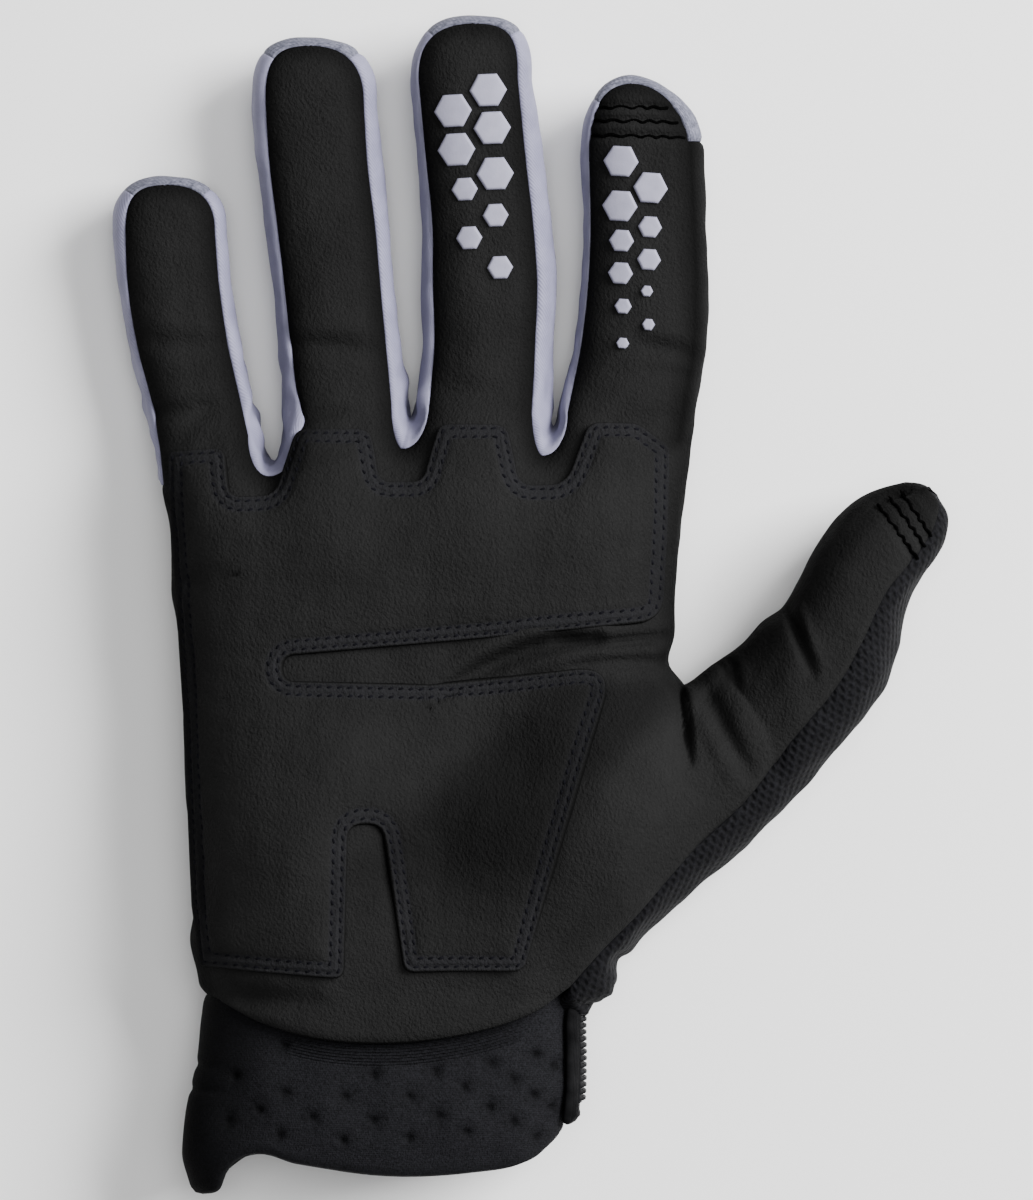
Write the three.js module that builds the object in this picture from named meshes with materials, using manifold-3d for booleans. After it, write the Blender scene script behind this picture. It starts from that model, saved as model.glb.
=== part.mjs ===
// Motocross glove for the right hand, lying on its back with the palm up, in millimetres.
// +Z is up, +Y runs from the cuff to the fingertips and +X to the thumb side.
// The origin is under the middle of the glove, on the surface that it lies on.
import * as THREE from "three";
import Module from "manifold-3d";

const wasm = await Module();
wasm.setup();

// Walls, the clearance between pieces, and the slant of their cut edges as a share of the wall
const SUEDE = 1.2;
const KNIT = 1.2;
const STRETCH = 1.0;
const MESH = 1.5;
const NEOPRENE = 2.6;
const PAD = 1.6;
const GRIP = 0.6;
const STRAP = 2.2;
const GAP = 0.3;
const SLANT = 0.8;
const SLANT_LIMIT = 0.4;
const TRIM_LEAST = 0.3;
const END_CLEARANCE = 1.15 * GAP;
const KNIT_BASE_GAP = 1.5 * GAP;
const KNIT_CORNER_GAP = 5 * GAP;
const FRONT_SEAM_GAP = 0.45;
const BACK_SEAM_GAP = 1.1;

// How the soft forms swell: the powers of their sections and the heights of the hand
const FINGER_POWER = 2.6;
const PALM_POWER = 3.5;
const BACK_POWER = 5;
const SIDE_HEIGHT = 14;
const FLATTENING = 0.5;
const KNUCKLE_BLEND = 18;
const SIDE_INSET = 3;
const BACK_INSET = 3;
const FINGER_ROOT = 30;
const RELIEF_FADE = 1.5;
const THUMB_TIP_BULGE = 0.9;
const BACK_HEEL_BEND = -2;
const SECTION_REACH = 0.6;
const PROFILE_HALF_ANGLE = (75 * Math.PI) / 180;

// Cells of the meshes
const FINGER_CELLS = 4;
const PALM_ROWS_ABOVE_THUMB = 5;
const PALM_ROWS_BESIDE_THUMB = 8;
const CROTCH_CELLS = 2;
const SHAFT_CELLS = 7;
const TIP_CELLS = 4;
const RIM_CELLS = 2;
const PROFILE_CELLS = 4;

// Fingers: outline and seam insets by the height y along the hand
const FINGERS = [
  {
    name: "pinky",
    thick: 18,
    tipThick: 14.5,
    lift: 4,
    shoulder: 74,
    tip: 85.8,
    tipSeam: 1.8,
    tipShift: -0.6,
    tipPower: 0.75,
    stations: [
      { y: 23.7, left: -74.0, right: -50.8, seamLeft: 1.0, seamRight: 2.8 },
      { y: 29.7, left: -75.1, right: -52.2, seamLeft: 1.2, seamRight: 2.8 },
      { y: 39.7, left: -77.4, right: -55.3, seamLeft: 1.4, seamRight: 2.1 },
      { y: 51.7, left: -80.6, right: -58.0, seamLeft: 1.5, seamRight: 2.1 },
      { y: 63.7, left: -82.8, right: -59.9, seamLeft: 1.9, seamRight: 2.0 },
      { y: 74.0, left: -83.8, right: -60.9, seamLeft: 2.6, seamRight: 1.8 },
    ],
  },
  {
    name: "ring",
    thick: 19.5,
    tipThick: 15.5,
    lift: 5,
    shoulder: 99.7,
    tip: 113.5,
    tipSeam: 1.8,
    tipShift: -1.0,
    tipPower: 0.75,
    stations: [
      { y: 28.7, left: -50.2, right: -24.0, seamLeft: 2.8, seamRight: 3.2 },
      { y: 39.7, left: -49.5, right: -24.2, seamLeft: 2.8, seamRight: 3.2 },
      { y: 51.7, left: -50.7, right: -25.9, seamLeft: 2.5, seamRight: 2.6 },
      { y: 63.7, left: -51.7, right: -27.3, seamLeft: 2.2, seamRight: 2.3 },
      { y: 75.7, left: -53.3, right: -28.1, seamLeft: 2.4, seamRight: 2.6 },
      { y: 87.7, left: -54.9, right: -29.3, seamLeft: 2.5, seamRight: 2.9 },
      { y: 99.7, left: -55.9, right: -30.7, seamLeft: 2.8, seamRight: 2.2 },
    ],
  },
  {
    name: "middle",
    thick: 20,
    tipThick: 16,
    lift: 5.5,
    shoulder: 105,
    tip: 117.7,
    tipSeam: 1.6,
    tipShift: 1.0,
    tipPower: 0.75,
    stations: [
      { y: 32.7, left: -23.8, right: 4.0, seamLeft: 2.4, seamRight: 4.0 },
      { y: 39.7, left: -22.9, right: 4.2, seamLeft: 2.3, seamRight: 3.4 },
      { y: 51.7, left: -21.7, right: 4.7, seamLeft: 2.2, seamRight: 3.4 },
      { y: 63.7, left: -21.8, right: 5.2, seamLeft: 2.0, seamRight: 3.5 },
      { y: 75.7, left: -21.6, right: 4.5, seamLeft: 1.7, seamRight: 3.6 },
      { y: 87.7, left: -22.6, right: 2.9, seamLeft: 1.5, seamRight: 3.4 },
      { y: 105.0, left: -24.2, right: 0.4, seamLeft: 1.5, seamRight: 2.6 },
    ],
  },
  {
    name: "index",
    thick: 19.5,
    tipThick: 15.5,
    lift: 5,
    shoulder: 90,
    tip: 105.6,
    tipSeam: 1.4,
    tipShift: -2.0,
    tipPower: 0.95,
    stations: [
      { y: 32.7, left: 4.4, right: 32.5, seamLeft: 1.6, seamRight: 2.6 },
      { y: 39.7, left: 6.2, right: 33.6, seamLeft: 1.2, seamRight: 2.6 },
      { y: 51.7, left: 8.8, right: 35.5, seamLeft: 1.0, seamRight: 2.6 },
      { y: 63.7, left: 10.2, right: 35.8, seamLeft: 1.0, seamRight: 2.6 },
      { y: 75.7, left: 10.6, right: 35.4, seamLeft: 1.1, seamRight: 2.6 },
      { y: 90.0, left: 10.2, right: 34.7, seamLeft: 1.2, seamRight: 2.6 },
    ],
  },
];

// Bottoms of the three forks between the fingers: outline, front seam and the rise of the fork
const FORKS = [
  { x: -51.2, y: 28.3, seamX: -52.0, seamY: 25.7, rise: 8 },
  { x: -23.8, y: 37.1, seamX: -25.4, seamY: 31.1, rise: 8.5 },
  { x: 4.8, y: 35.1, seamX: 2.6, seamY: 29.7, rise: 8.5 },
];
const OUTER_BASE = { left: 23.7, right: 32.7 };
const OUTER_RISE = 9;

// The hand without its fingers: outline left, swelling width right, and height of the palm
const HAND = [
  { y: -90.0, left: -66.4, right: 11.5, top: 32.0 },
  { y: -79.0, left: -65.9, right: 12.0, top: 33.0 },
  { y: -74.3, left: -66.2, right: 16.0, top: 33.6 },
  { y: -66.9, left: -67.8, right: 22.8, top: 34.0 },
  { y: -60.3, left: -67.0, right: 30.0, top: 34.2 },
  { y: -50.3, left: -67.6, right: 40.0, top: 34.0 },
  { y: -38.3, left: -68.8, right: 48.0, top: 33.2 },
  { y: -26.3, left: -69.4, right: 47.0, top: 32.0 },
  { y: -10.3, left: -69.8, right: 36.5, top: 30.5 },
  { y: 1.0, left: -71.3, right: 31.0, top: 30.0 },
  { y: 13.7, left: -72.0, right: 30.6, top: 29.0 },
  { y: 23.7, left: -74.0, right: 31.4, top: 26.6 },
  { y: 33.0, left: -75.6, right: 32.6, top: 23.4 },
  { y: 50.0, left: -80.0, right: 35.4, top: 21.0 },
];
const HAND_LEFT_END = { y: -76.9 };

// Right edge of the palm, from the index finger down to the fork of the thumb
const PALM_RIGHT = [
  { y: -16.1, x: 31.0 },
  { y: -12.0, x: 27.9 },
  { y: -6.3, x: 28.9 },
  { y: 0.7, x: 28.9 },
  { y: 9.7, x: 29.8 },
  { y: 19.7, x: 30.8 },
  { y: 32.7, x: 32.5 },
];

// Mounds and hollows of the palm side
const RELIEF = [
  { x: -62, y: 12, rx: 11, ry: 12, height: 1.2 },
  { x: -38, y: 18, rx: 11, ry: 12, height: 1.6 },
  { x: -11, y: 19, rx: 11, ry: 12, height: 1.6 },
  { x: 17, y: 18, rx: 11, ry: 13, height: 1.6 },
  { x: -14, y: -18, rx: 30, ry: 16, height: -2.4 },
  { x: 12, y: -44, rx: 20, ry: 20, height: 2.2 },
  { x: -50, y: -48, rx: 18, ry: 26, height: 1.0 },
  { x: 34, y: -20, rx: 8, ry: 10, height: -4.5 },
  { x: -52, y: 27, rx: 5, ry: 8, height: -2.6 },
  { x: -25, y: 33, rx: 5, ry: 8, height: -2.6 },
  { x: 3, y: 32, rx: 5, ry: 8, height: -2.6 },
];

// Thumb: rungs from its inner outline over the suede's seam to its outer outline
const THUMB = [
  { inX: 31.0, inY: -16.1, seamX: 8.0, seamY: -76.5, outX: 12.0, outY: -79.9, mid: 14, thick: 33 },
  { inX: 32.4, inY: -15.1, seamX: 14.0, seamY: -69.7, outX: 17.6, outY: -73.8, mid: 14.2, thick: 32.5 },
  { inX: 34.8, inY: -13.5, seamX: 22.0, seamY: -61.5, outX: 23.2, outY: -66.3, mid: 14.4, thick: 32 },
  { inX: 38.4, inY: -10.9, seamX: 32.6, seamY: -49.3, outX: 34.8, outY: -56.1, mid: 14.7, thick: 31 },
  { inX: 42.4, inY: -7.9, seamX: 43.0, seamY: -39.3, outX: 46.6, outY: -46.1, mid: 15, thick: 30 },
  { inX: 46.4, inY: -3.9, seamX: 52.0, seamY: -27.3, outX: 56.4, outY: -35.3, mid: 15.3, thick: 28.5 },
  { inX: 50.0, inY: -1.1, seamX: 58.4, seamY: -19.9, outX: 64.6, outY: -25.9, mid: 15.5, thick: 27 },
  { inX: 51.8, inY: 1.3, seamX: 63.6, seamY: -12.1, outX: 70.8, outY: -17.9, mid: 15.6, thick: 26 },
  { inX: 53.4, inY: 4.3, seamX: 67.6, seamY: -4.1, outX: 73.6, outY: -8.9, mid: 15.7, thick: 25.5 },
  { inX: 55.6, inY: 8.7, seamX: 70.8, seamY: 1.9, outX: 75.6, outY: -0.5, mid: 15.8, thick: 25 },
  {
    inX: 58.2, inY: 13.3, seamX: 74.6, seamY: 6.7,
    outX: 78.2, outY: 4.9, mid: 15.8, thick: 24, closing: 0.1,
  },
  {
    inX: 61.4, inY: 17.5, seamX: 78.2, seamY: 10.7,
    outX: 81.2, outY: 9.5, mid: 15.8, thick: 23, closing: 0.3,
  },
  {
    inX: 65.6, inY: 20.9, seamX: 80.6, seamY: 15.1,
    outX: 82.8, outY: 13.1, mid: 15.8, thick: 22, closing: 0.5,
  },
  {
    inX: 70.4, inY: 23.3, seamX: 81.4, seamY: 19.7,
    outX: 83.4, outY: 17.5, mid: 15.8, thick: 21, closing: 0.7,
  },
  {
    inX: 75.0, inY: 24.5, seamX: 79.4, seamY: 22.7,
    outX: 81.4, outY: 21.7, mid: 15.8, thick: 20, closing: 0.85,
  },
];
const THUMB_BLEND_RUNGS = 6;
const THUMB_TIP_CLEARANCE = 2.2;

// Lower edge of the suede over the cuff, and of the mesh back
const HEEL = [
  { x: -65.8, y: -76.9 },
  { x: -60.0, y: -79.8 },
  { x: -54.0, y: -82.6 },
  { x: -46.0, y: -85.0 },
  { x: -37.0, y: -86.4 },
  { x: -26.0, y: -86.6 },
  { x: -16.0, y: -85.5 },
  { x: -6.0, y: -83.3 },
  { x: 2.0, y: -80.4 },
  { x: 8.0, y: -76.5 },
];

// Pad on the palm: corners of its outline with the radius of each
const PAD_CORNERS = [
  { x: -72.0, y: 30.3, r: 1.6 },
  { x: -60.6, y: 30.7, r: 2.0 },
  { x: -59.4, y: 21.1, r: 2.4 },
  { x: -50.4, y: 21.1, r: 4.0 },
  { x: -46.4, y: 34.5, r: 2.8 },
  { x: -31.8, y: 34.5, r: 2.8 },
  { x: -29.8, y: 23.9, r: 2.8 },
  { x: -21.2, y: 23.9, r: 2.8 },
  { x: -18.0, y: 35.5, r: 2.4 },
  { x: -4.6, y: 35.5, r: 2.8 },
  { x: -2.2, y: 23.3, r: 3.2 },
  { x: 7.2, y: 23.3, r: 5.2 },
  { x: 11.6, y: 35.9, r: 3.6 },
  { x: 21.2, y: 35.9, r: 4.8 },
  { x: 27.6, y: 31.2, r: 3.2 },
  { x: 26.0, y: -3.7, r: 6.0 },
  { x: -48.8, y: -10.5, r: 2.0 },
  { x: -48.8, y: -15.3, r: 2.0 },
  { x: -20.0, y: -15.9, r: 8.0 },
  { x: 17.0, y: -12.1, r: 5.6 },
  { x: -1.2, y: -72.5, r: 2.8 },
  { x: -25.0, y: -72.9, r: 2.4 },
  { x: -29.6, y: -43.7, r: 3.2 },
  { x: -36.0, y: -43.7, r: 2.8 },
  { x: -36.6, y: -74.1, r: 2.4 },
  { x: -64.2, y: -71.9, r: 1.2 },
  { x: -65.4, y: -60.0, r: 4.0 },
  { x: -67.9, y: -25.0, r: 20.0 },
  { x: -69.2, y: 2.0, r: 20.0 },
];
const EDGE_SHARE = 0.49;
const NEARLY_STRAIGHT = 2.8;
const PAD_LOWEST = 16;
const CUT_TOP = 60;

// Hexagon grips: middle of each and its width from corner to corner
const GRIPS = {
  middle: {
    tilt: -2.5,
    rows: [
      { x: -8.4, y: 102.3, width: 7.4 },
      { x: -15.3, y: 98.2, width: 7.4 },
      { x: -7.6, y: 94.8, width: 7.4 },
      { x: -14.6, y: 90.5, width: 7.4 },
      { x: -7.0, y: 85.7, width: 7.4 },
      { x: -13.0, y: 82.6, width: 5.2 },
      { x: -6.9, y: 77.4, width: 5.2 },
      { x: -12.1, y: 72.9, width: 5.2 },
      { x: -6.0, y: 67.0, width: 5.2 },
    ],
  },
  index: {
    tilt: 4,
    rows: [
      { x: 18.2, y: 88.2, width: 6.9 },
      { x: 24.0, y: 82.9, width: 6.9 },
      { x: 18.0, y: 79.3, width: 6.9 },
      { x: 23.9, y: 75.1, width: 4.8 },
      { x: 18.3, y: 72.4, width: 4.9 },
      { x: 23.7, y: 68.6, width: 4.8 },
      { x: 18.1, y: 65.9, width: 4.9 },
      { x: 23.3, y: 62.3, width: 2.5 },
      { x: 18.6, y: 59.3, width: 3.4 },
      { x: 23.6, y: 55.6, width: 2.6 },
      { x: 18.5, y: 51.9, width: 2.5 },
    ],
  },
};

// Cuff: outline and heights by y, its upper edge hidden under the suede and the mesh
const CUFF = [
  { y: -120.0, left: -66.6, right: 2.0, front: 28.4, back: 4.0 },
  { y: -114.3, left: -68.6, right: 3.6, front: 29.0, back: 3.4 },
  { y: -110.3, left: -69.7, right: 5.0, front: 29.6, back: 2.9 },
  { y: -106.3, left: -69.5, right: 6.4, front: 30.2, back: 2.9 },
  { y: -98.3, left: -68.0, right: 7.4, front: 30.4, back: 2.9 },
  { y: -90.3, left: -66.5, right: 7.6, front: 29.8, back: 2.9 },
  { y: -82.3, left: -65.3, right: 7.6, front: 29.2, back: 2.9 },
  { y: -78.6, left: -64.6, right: 6.0, front: 29.0, back: 3.0 },
  { y: -76.8, left: -62.6, right: 4.0, front: 28.8, back: 3.6 },
  { y: -73.0, left: -62.0, right: 3.4, front: 28.6, back: 3.8 },
];
const CUFF_POWER = 2.8;
const CUFF_TOP = -74;
const CUFF_AROUND = 26;
const CUFF_EDGE_ROW = -108;
const CUFF_ROWS = [0, 0.08, 0.13, 0.24, 0.42, 0.6, 0.8, 1];
const CUFF_FRONT_EDGE = [
  { x: -69.0, y: -117.6 },
  { x: -64.0, y: -116.2 },
  { x: -61.0, y: -112.5 },
  { x: -58.0, y: -109.9 },
  { x: -53.0, y: -108.8 },
  { x: -46.0, y: -110.7 },
  { x: -28.0, y: -113.1 },
  { x: -10.0, y: -112.6 },
  { x: 2.0, y: -110.2 },
  { x: 7.4, y: -103.5 },
];
const CUFF_BACK_EDGE = [
  { x: -69.0, y: -117.6 },
  { x: -62.0, y: -113.5 },
  { x: -54.0, y: -109.5 },
  { x: -28.0, y: -109.0 },
  { x: 0.0, y: -108.0 },
  { x: 7.4, y: -103.5 },
];

// Closure strap round the thumb side and the back of the cuff, and its ribbed cover
const STRAP_CLEARANCE = 0.5;
const STRAP_SPAN = { top: -80.6, bottom: -102.9, from: 24, to: -150, cells: 15, rows: 3 };
const RIB_ROWS_APART = 0.25;
const RIB_SPAN = { top: -81.0, pitch: 1.3, count: 14, from: 12, to: -36, cells: 4, base: 0.35, tall: 0.75 };

// Points this near are one point
const SAME_PLACE = 0.002;

// Small helpers
const smooth = (t) => {
  const s = Math.min(1, Math.max(0, t));
  return s * s * (3 - 2 * s);
};
const mix = (a, b, t) => a + (b - a) * t;
const power = (value, exponent) => Math.sign(value) * Math.abs(value) ** exponent;
const radians = THREE.MathUtils.degToRad;

// Smooth value of a column of a table whose rows are sorted by key, flat beyond its ends
function at(rows, key, place, column) {
  const last = rows.length - 1;
  const t = Math.min(rows[last][key], Math.max(rows[0][key], place));
  let i = 0;
  while (i < last - 1 && rows[i + 1][key] < t) i += 1;
  const slope = (j) => {
    const a = rows[Math.max(0, j - 1)];
    const b = rows[Math.min(last, j + 1)];
    return (b[column] - a[column]) / (b[key] - a[key]);
  };
  const width = rows[i + 1][key] - rows[i][key];
  const s = (t - rows[i][key]) / width;
  const start = rows[i][column] * (1 + 2 * s) * (1 - s) ** 2;
  const end = rows[i + 1][column] * s * s * (3 - 2 * s);
  const bend = width * s * (1 - s) * (slope(i) * (1 - s) - slope(i + 1) * s);
  return start + end + bend;
}

// Swelling of a round form: 1 in its middle, 0 on its outline
function swell(across, along, exponent) {
  return Math.sqrt(Math.max(0, 1 - Math.abs(across) ** exponent - Math.abs(along) ** exponent));
}

// Mounds and hollows of the palm at a place
function relief(x, y) {
  return RELIEF.reduce((sum, bump) => {
    const dx = (x - bump.x) / bump.rx;
    const dy = (y - bump.y) / bump.ry;
    return sum + bump.height * Math.exp(-dx * dx - dy * dy);
  }, 0);
}

// Place across the hand: -1 on its left outline and 1 on its right one
function acrossHand(x, y) {
  const left = at(HAND, "y", y, "left");
  const right = at(HAND, "y", y, "right");
  return Math.max(-1, Math.min(1, (2 * x - left - right) / (right - left)));
}

function palmHeight(x, y) {
  const across = acrossHand(x, y);
  const full = swell(across, 0, PALM_POWER);
  const rise = at(HAND, "y", y, "top") - SIDE_HEIGHT;
  return SIDE_HEIGHT + rise * full + relief(x, y) * Math.min(1, full * RELIEF_FADE);
}

function backHeight(x, y) {
  const full = swell(acrossHand(x, y), 0, BACK_POWER);
  return Math.max(0, SIDE_HEIGHT * (1 - full) - FLATTENING);
}

// A finger's outline or seam in plan. Along runs 0 to 1 round the fork, to 2 at the shoulder
// and to 3 at the tip.
function fingerEdge(index, side, along, inset) {
  const finger = FINGERS[index];
  const fork = FORKS[side < 0 ? index - 1 : index];
  const outline = side < 0 ? "left" : "right";
  const seam = side < 0 ? "seamLeft" : "seamRight";
  const edge = (y) => {
    const shift = inset * at(finger.stations, "y", y, seam);
    return at(finger.stations, "y", y, outline) - side * shift;
  };
  const base = fork ? fork.seamY : OUTER_BASE[outline];
  const straight = base + (fork ? fork.rise : OUTER_RISE);
  if (along < 1 && fork) {
    const turn = ((1 - along) * Math.PI) / 2;
    const bottomX = mix(fork.x, fork.seamX, inset);
    const bottomY = mix(fork.y, fork.seamY, inset);
    const sideX = edge(straight);
    return {
      x: mix(sideX, bottomX, 1 - Math.cos(turn)),
      y: mix(straight, bottomY, Math.sin(turn)),
    };
  }
  if (along <= 2) {
    const y = along < 1 ? mix(base, straight, along) : mix(straight, finger.shoulder, along - 1);
    return { x: edge(y), y };
  }
  const turn = ((along - 2) * Math.PI) / 2;
  const middle = (edgeOf(finger, "left") + edgeOf(finger, "right")) / 2;
  const half = Math.abs(edge(finger.shoulder) - middle);
  const reach = finger.tip - finger.shoulder - inset * finger.tipSeam;
  const climb = power(Math.sin(turn), finger.tipPower);
  return {
    x: middle + side * half * power(Math.cos(turn), finger.tipPower) + finger.tipShift * climb * climb,
    y: finger.shoulder + reach * climb,
  };
}

function edgeOf(finger, outline) {
  return at(finger.stations, "y", finger.shoulder, outline);
}

// Middle height and thickness of a finger at y
function fingerBody(finger, y) {
  const share = Math.min(1, Math.max(0, (y - FINGER_ROOT) / (finger.tip - FINGER_ROOT)));
  const thick = mix(finger.thick, finger.tipThick, share);
  return { mid: finger.lift * share * share + thick / 2, thick };
}

// Height of a finger's palm side (face 1) or back (face -1) at a place
function fingerHeight(index, face, x, y) {
  const finger = FINGERS[index];
  const body = fingerBody(finger, y);
  const climb = Math.max(0, y - finger.shoulder) / (finger.tip - finger.shoulder);
  const shift = finger.tipShift * climb * climb;
  const left = at(finger.stations, "y", y, "left") + shift;
  const right = at(finger.stations, "y", y, "right") + shift;
  const across = (2 * x - left - right) / (right - left);
  const own = body.mid + (face * body.thick * swell(across, climb, FINGER_POWER)) / 2;
  const hand = face > 0 ? palmHeight(x, y) : backHeight(x, y);
  return mix(hand, own, knuckleBlend(index, x, y));
}

function knuckleBlend(index, x, y) {
  const left = index === 0 ? OUTER_BASE.left : FORKS[index - 1].seamY;
  const right = index === 3 ? OUTER_BASE.right : FORKS[index].seamY;
  const start = (left + right) / 2;
  return smooth((y - start) / KNUCKLE_BLEND);
}

// The values of "along" at the rows of a finger's mesh
function fingerRows() {
  const rows = [];
  for (let i = 0; i < CROTCH_CELLS; i += 1) rows.push(i / CROTCH_CELLS);
  for (let i = 0; i < SHAFT_CELLS; i += 1) rows.push(1 + i / SHAFT_CELLS);
  for (let i = 0; i <= TIP_CELLS; i += 1) rows.push(2 + i / TIP_CELLS);
  return rows;
}

// Points of a finger's palm side or back, a row of them for each value of "along"
function fingerFace(index, face, from = 0) {
  return fingerRows().slice(from).map((along) => {
    const a = fingerEdge(index, -1, along, 1);
    const b = fingerEdge(index, 1, along, 1);
    return Array.from({ length: FINGER_CELLS + 1 }, (_, j) => {
      const x = mix(a.x, b.x, j / FINGER_CELLS);
      const y = mix(a.y, b.y, j / FINGER_CELLS);
      return new THREE.Vector3(x, y, fingerHeight(index, face, x, y));
    });
  });
}

// One place on a strip: the seam on the palm side, the outline and the seam on the back
function fingerSection(index, side, along) {
  const seam = fingerEdge(index, side, along, 1);
  const outline = fingerEdge(index, side, along, 0);
  const blend = knuckleBlend(index, outline.x, outline.y);
  const height = mix(SIDE_HEIGHT, fingerBody(FINGERS[index], outline.y).mid, blend);
  return {
    front: new THREE.Vector3(seam.x, seam.y, fingerHeight(index, 1, seam.x, seam.y)),
    outline: new THREE.Vector3(outline.x, outline.y, height),
    back: new THREE.Vector3(seam.x, seam.y, fingerHeight(index, -1, seam.x, seam.y)),
  };
}

// Outline of the palm's two sides and the thumb's inner side and tip, moved inwards by an inset
function sidePath(points, inset, inwards) {
  return points.map((point, i) => {
    const before = points[Math.max(0, i - 1)];
    const after = points[Math.min(points.length - 1, i + 1)];
    const length = Math.hypot(after.x - before.x, after.y - before.y);
    return {
      x: point.x + (inwards * inset * (after.y - before.y)) / length,
      y: point.y - (inwards * inset * (after.x - before.x)) / length,
    };
  });
}

const PALM_ROWS = PALM_ROWS_ABOVE_THUMB + PALM_ROWS_BESIDE_THUMB;
const LAST_RUNG = THUMB.length - 1;

const leftOutline = Array.from({ length: PALM_ROWS + 1 }, (_, i) => {
  const y = mix(OUTER_BASE.left, HAND_LEFT_END.y, i / PALM_ROWS);
  return { x: at(HAND, "y", y, "left"), y };
});

const rightOutline = [
  ...Array.from({ length: PALM_ROWS_ABOVE_THUMB + 1 }, (_, i) => {
    const y = mix(OUTER_BASE.right, THUMB[0].inY, i / PALM_ROWS_ABOVE_THUMB);
    return { x: at(PALM_RIGHT, "y", y, "x"), y };
  }),
  ...THUMB.slice(1).map((rung) => ({ x: rung.inX, y: rung.inY })),
  ...Array.from({ length: PALM_ROWS_BESIDE_THUMB }, (_, i) => {
    const share = (i + 1) / PALM_ROWS_BESIDE_THUMB;
    const tip = THUMB[LAST_RUNG];
    const dx = tip.outX - tip.inX;
    const dy = tip.outY - tip.inY;
    const bulge = (THUMB_TIP_BULGE * Math.sin(Math.PI * share)) / Math.hypot(dx, dy);
    return { x: tip.inX + dx * share - dy * bulge, y: tip.inY + dy * share + dx * bulge };
  }),
];

// Edges of the hand's palm side (inset in front) and back in plan
function handEdges(face) {
  const inset = face > 0 ? SIDE_INSET : BACK_INSET;
  const left = sidePath(leftOutline, inset, -1);
  const right = sidePath(rightOutline, inset, 1);
  const base = fingerEdge(0, -1, 0, 1);
  left[0] = base;
  right[0] = fingerEdge(3, 1, 0, 1);
  const outer = THUMB.map((rung) => {
    if (face > 0) return { x: rung.seamX, y: rung.seamY };
    const length = Math.hypot(rung.inX - rung.outX, rung.inY - rung.outY);
    const share = BACK_INSET / length;
    return { x: mix(rung.outX, rung.inX, share), y: mix(rung.outY, rung.inY, share) };
  });
  right[right.length - 1] = outer[LAST_RUNG];
  return { left, right, outer };
}

// Height of the thumb's palm side or back on a rung
function thumbHeight(rung, face, x, y) {
  const row = THUMB[rung];
  const dx = row.outX - row.inX;
  const dy = row.outY - row.inY;
  const share = ((x - row.inX) * dx + (y - row.inY) * dy) / (dx * dx + dy * dy);
  const across = Math.max(-1, Math.min(1, 2 * share - 1));
  const own = row.mid + (face * row.thick * swell(across, row.closing ?? 0, FINGER_POWER)) / 2;
  const hand = face > 0 ? palmHeight(x, y) : backHeight(x, y);
  return mix(hand, own, smooth(rung / THUMB_BLEND_RUNGS));
}

// Points of the palm or of the back of the hand without fingers and thumb
function handFace(face) {
  const edges = handEdges(face);
  const top = FINGERS.flatMap((_, k) => {
    const row = fingerFace(k, face)[0];
    return k === 0 ? row : row.slice(1);
  });
  const shares = top.map((point) => (point.x - top[0].x) / (top[top.length - 1].x - top[0].x));
  const rows = [];
  for (let i = 0; i <= PALM_ROWS; i += 1) {
    const beside = i - PALM_ROWS_ABOVE_THUMB;
    const a = edges.left[i];
    const fork = edges.right[PALM_ROWS_ABOVE_THUMB];
    const share = beside / PALM_ROWS_BESIDE_THUMB;
    const b =
      beside <= 0
        ? edges.right[i]
        : { x: mix(fork.x, edges.outer[0].x, share), y: mix(fork.y, edges.outer[0].y, share) };
    const down = i / PALM_ROWS;
    rows.push(
      shares.map((u, j) => {
        const x = mix(a.x, b.x, u);
        const topBend = top[j].y - mix(top[0].y, top[top.length - 1].y, u);
        const heelX = mix(edges.left[PALM_ROWS].x, edges.outer[0].x, u);
        const heelLine = mix(edges.left[PALM_ROWS].y, edges.outer[0].y, u);
        const backBend = BACK_HEEL_BEND * Math.sin(Math.PI * u);
        const heelBend = face > 0 ? at(HEEL, "x", heelX, "y") - heelLine : backBend;
        const y = mix(a.y, b.y, u) + topBend * (1 - down) ** 2 + heelBend * down ** 2;
        return new THREE.Vector3(x, y, face > 0 ? palmHeight(x, y) : backHeight(x, y));
      }),
    );
  }
  rows[0] = top;
  return rows;
}

// Points of the thumb's palm side or back, a row for each rung, starting on the hand's right edge
function thumbFace(face, hand) {
  const edges = handEdges(face);
  const first = hand.slice(PALM_ROWS_ABOVE_THUMB).map((row) => row[row.length - 1]);
  const rows = [first];
  for (let rung = 1; rung < LAST_RUNG; rung += 1) {
    const a = edges.right[PALM_ROWS_ABOVE_THUMB + rung];
    const b = edges.outer[rung];
    rows.push(
      first.map((_, j) => {
        const x = mix(a.x, b.x, j / PALM_ROWS_BESIDE_THUMB);
        const y = mix(a.y, b.y, j / PALM_ROWS_BESIDE_THUMB);
        return new THREE.Vector3(x, y, thumbHeight(rung, face, x, y));
      }),
    );
  }
  const tip = edges.right.slice(PALM_ROWS_ABOVE_THUMB + LAST_RUNG);
  rows.push(tip.map(({ x, y }) => new THREE.Vector3(x, y, thumbHeight(LAST_RUNG, face, x, y))));
  return rows;
}

// Sections of the strip down the palm's left side, and of the one down its right side and round the thumb
function leftSections() {
  const front = handFace(1);
  const back = handFace(-1);
  return leftOutline.map(({ x, y }, i) => ({
    front: front[i][0],
    outline: new THREE.Vector3(x, y, SIDE_HEIGHT),
    back: back[i][0],
  }));
}

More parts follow.
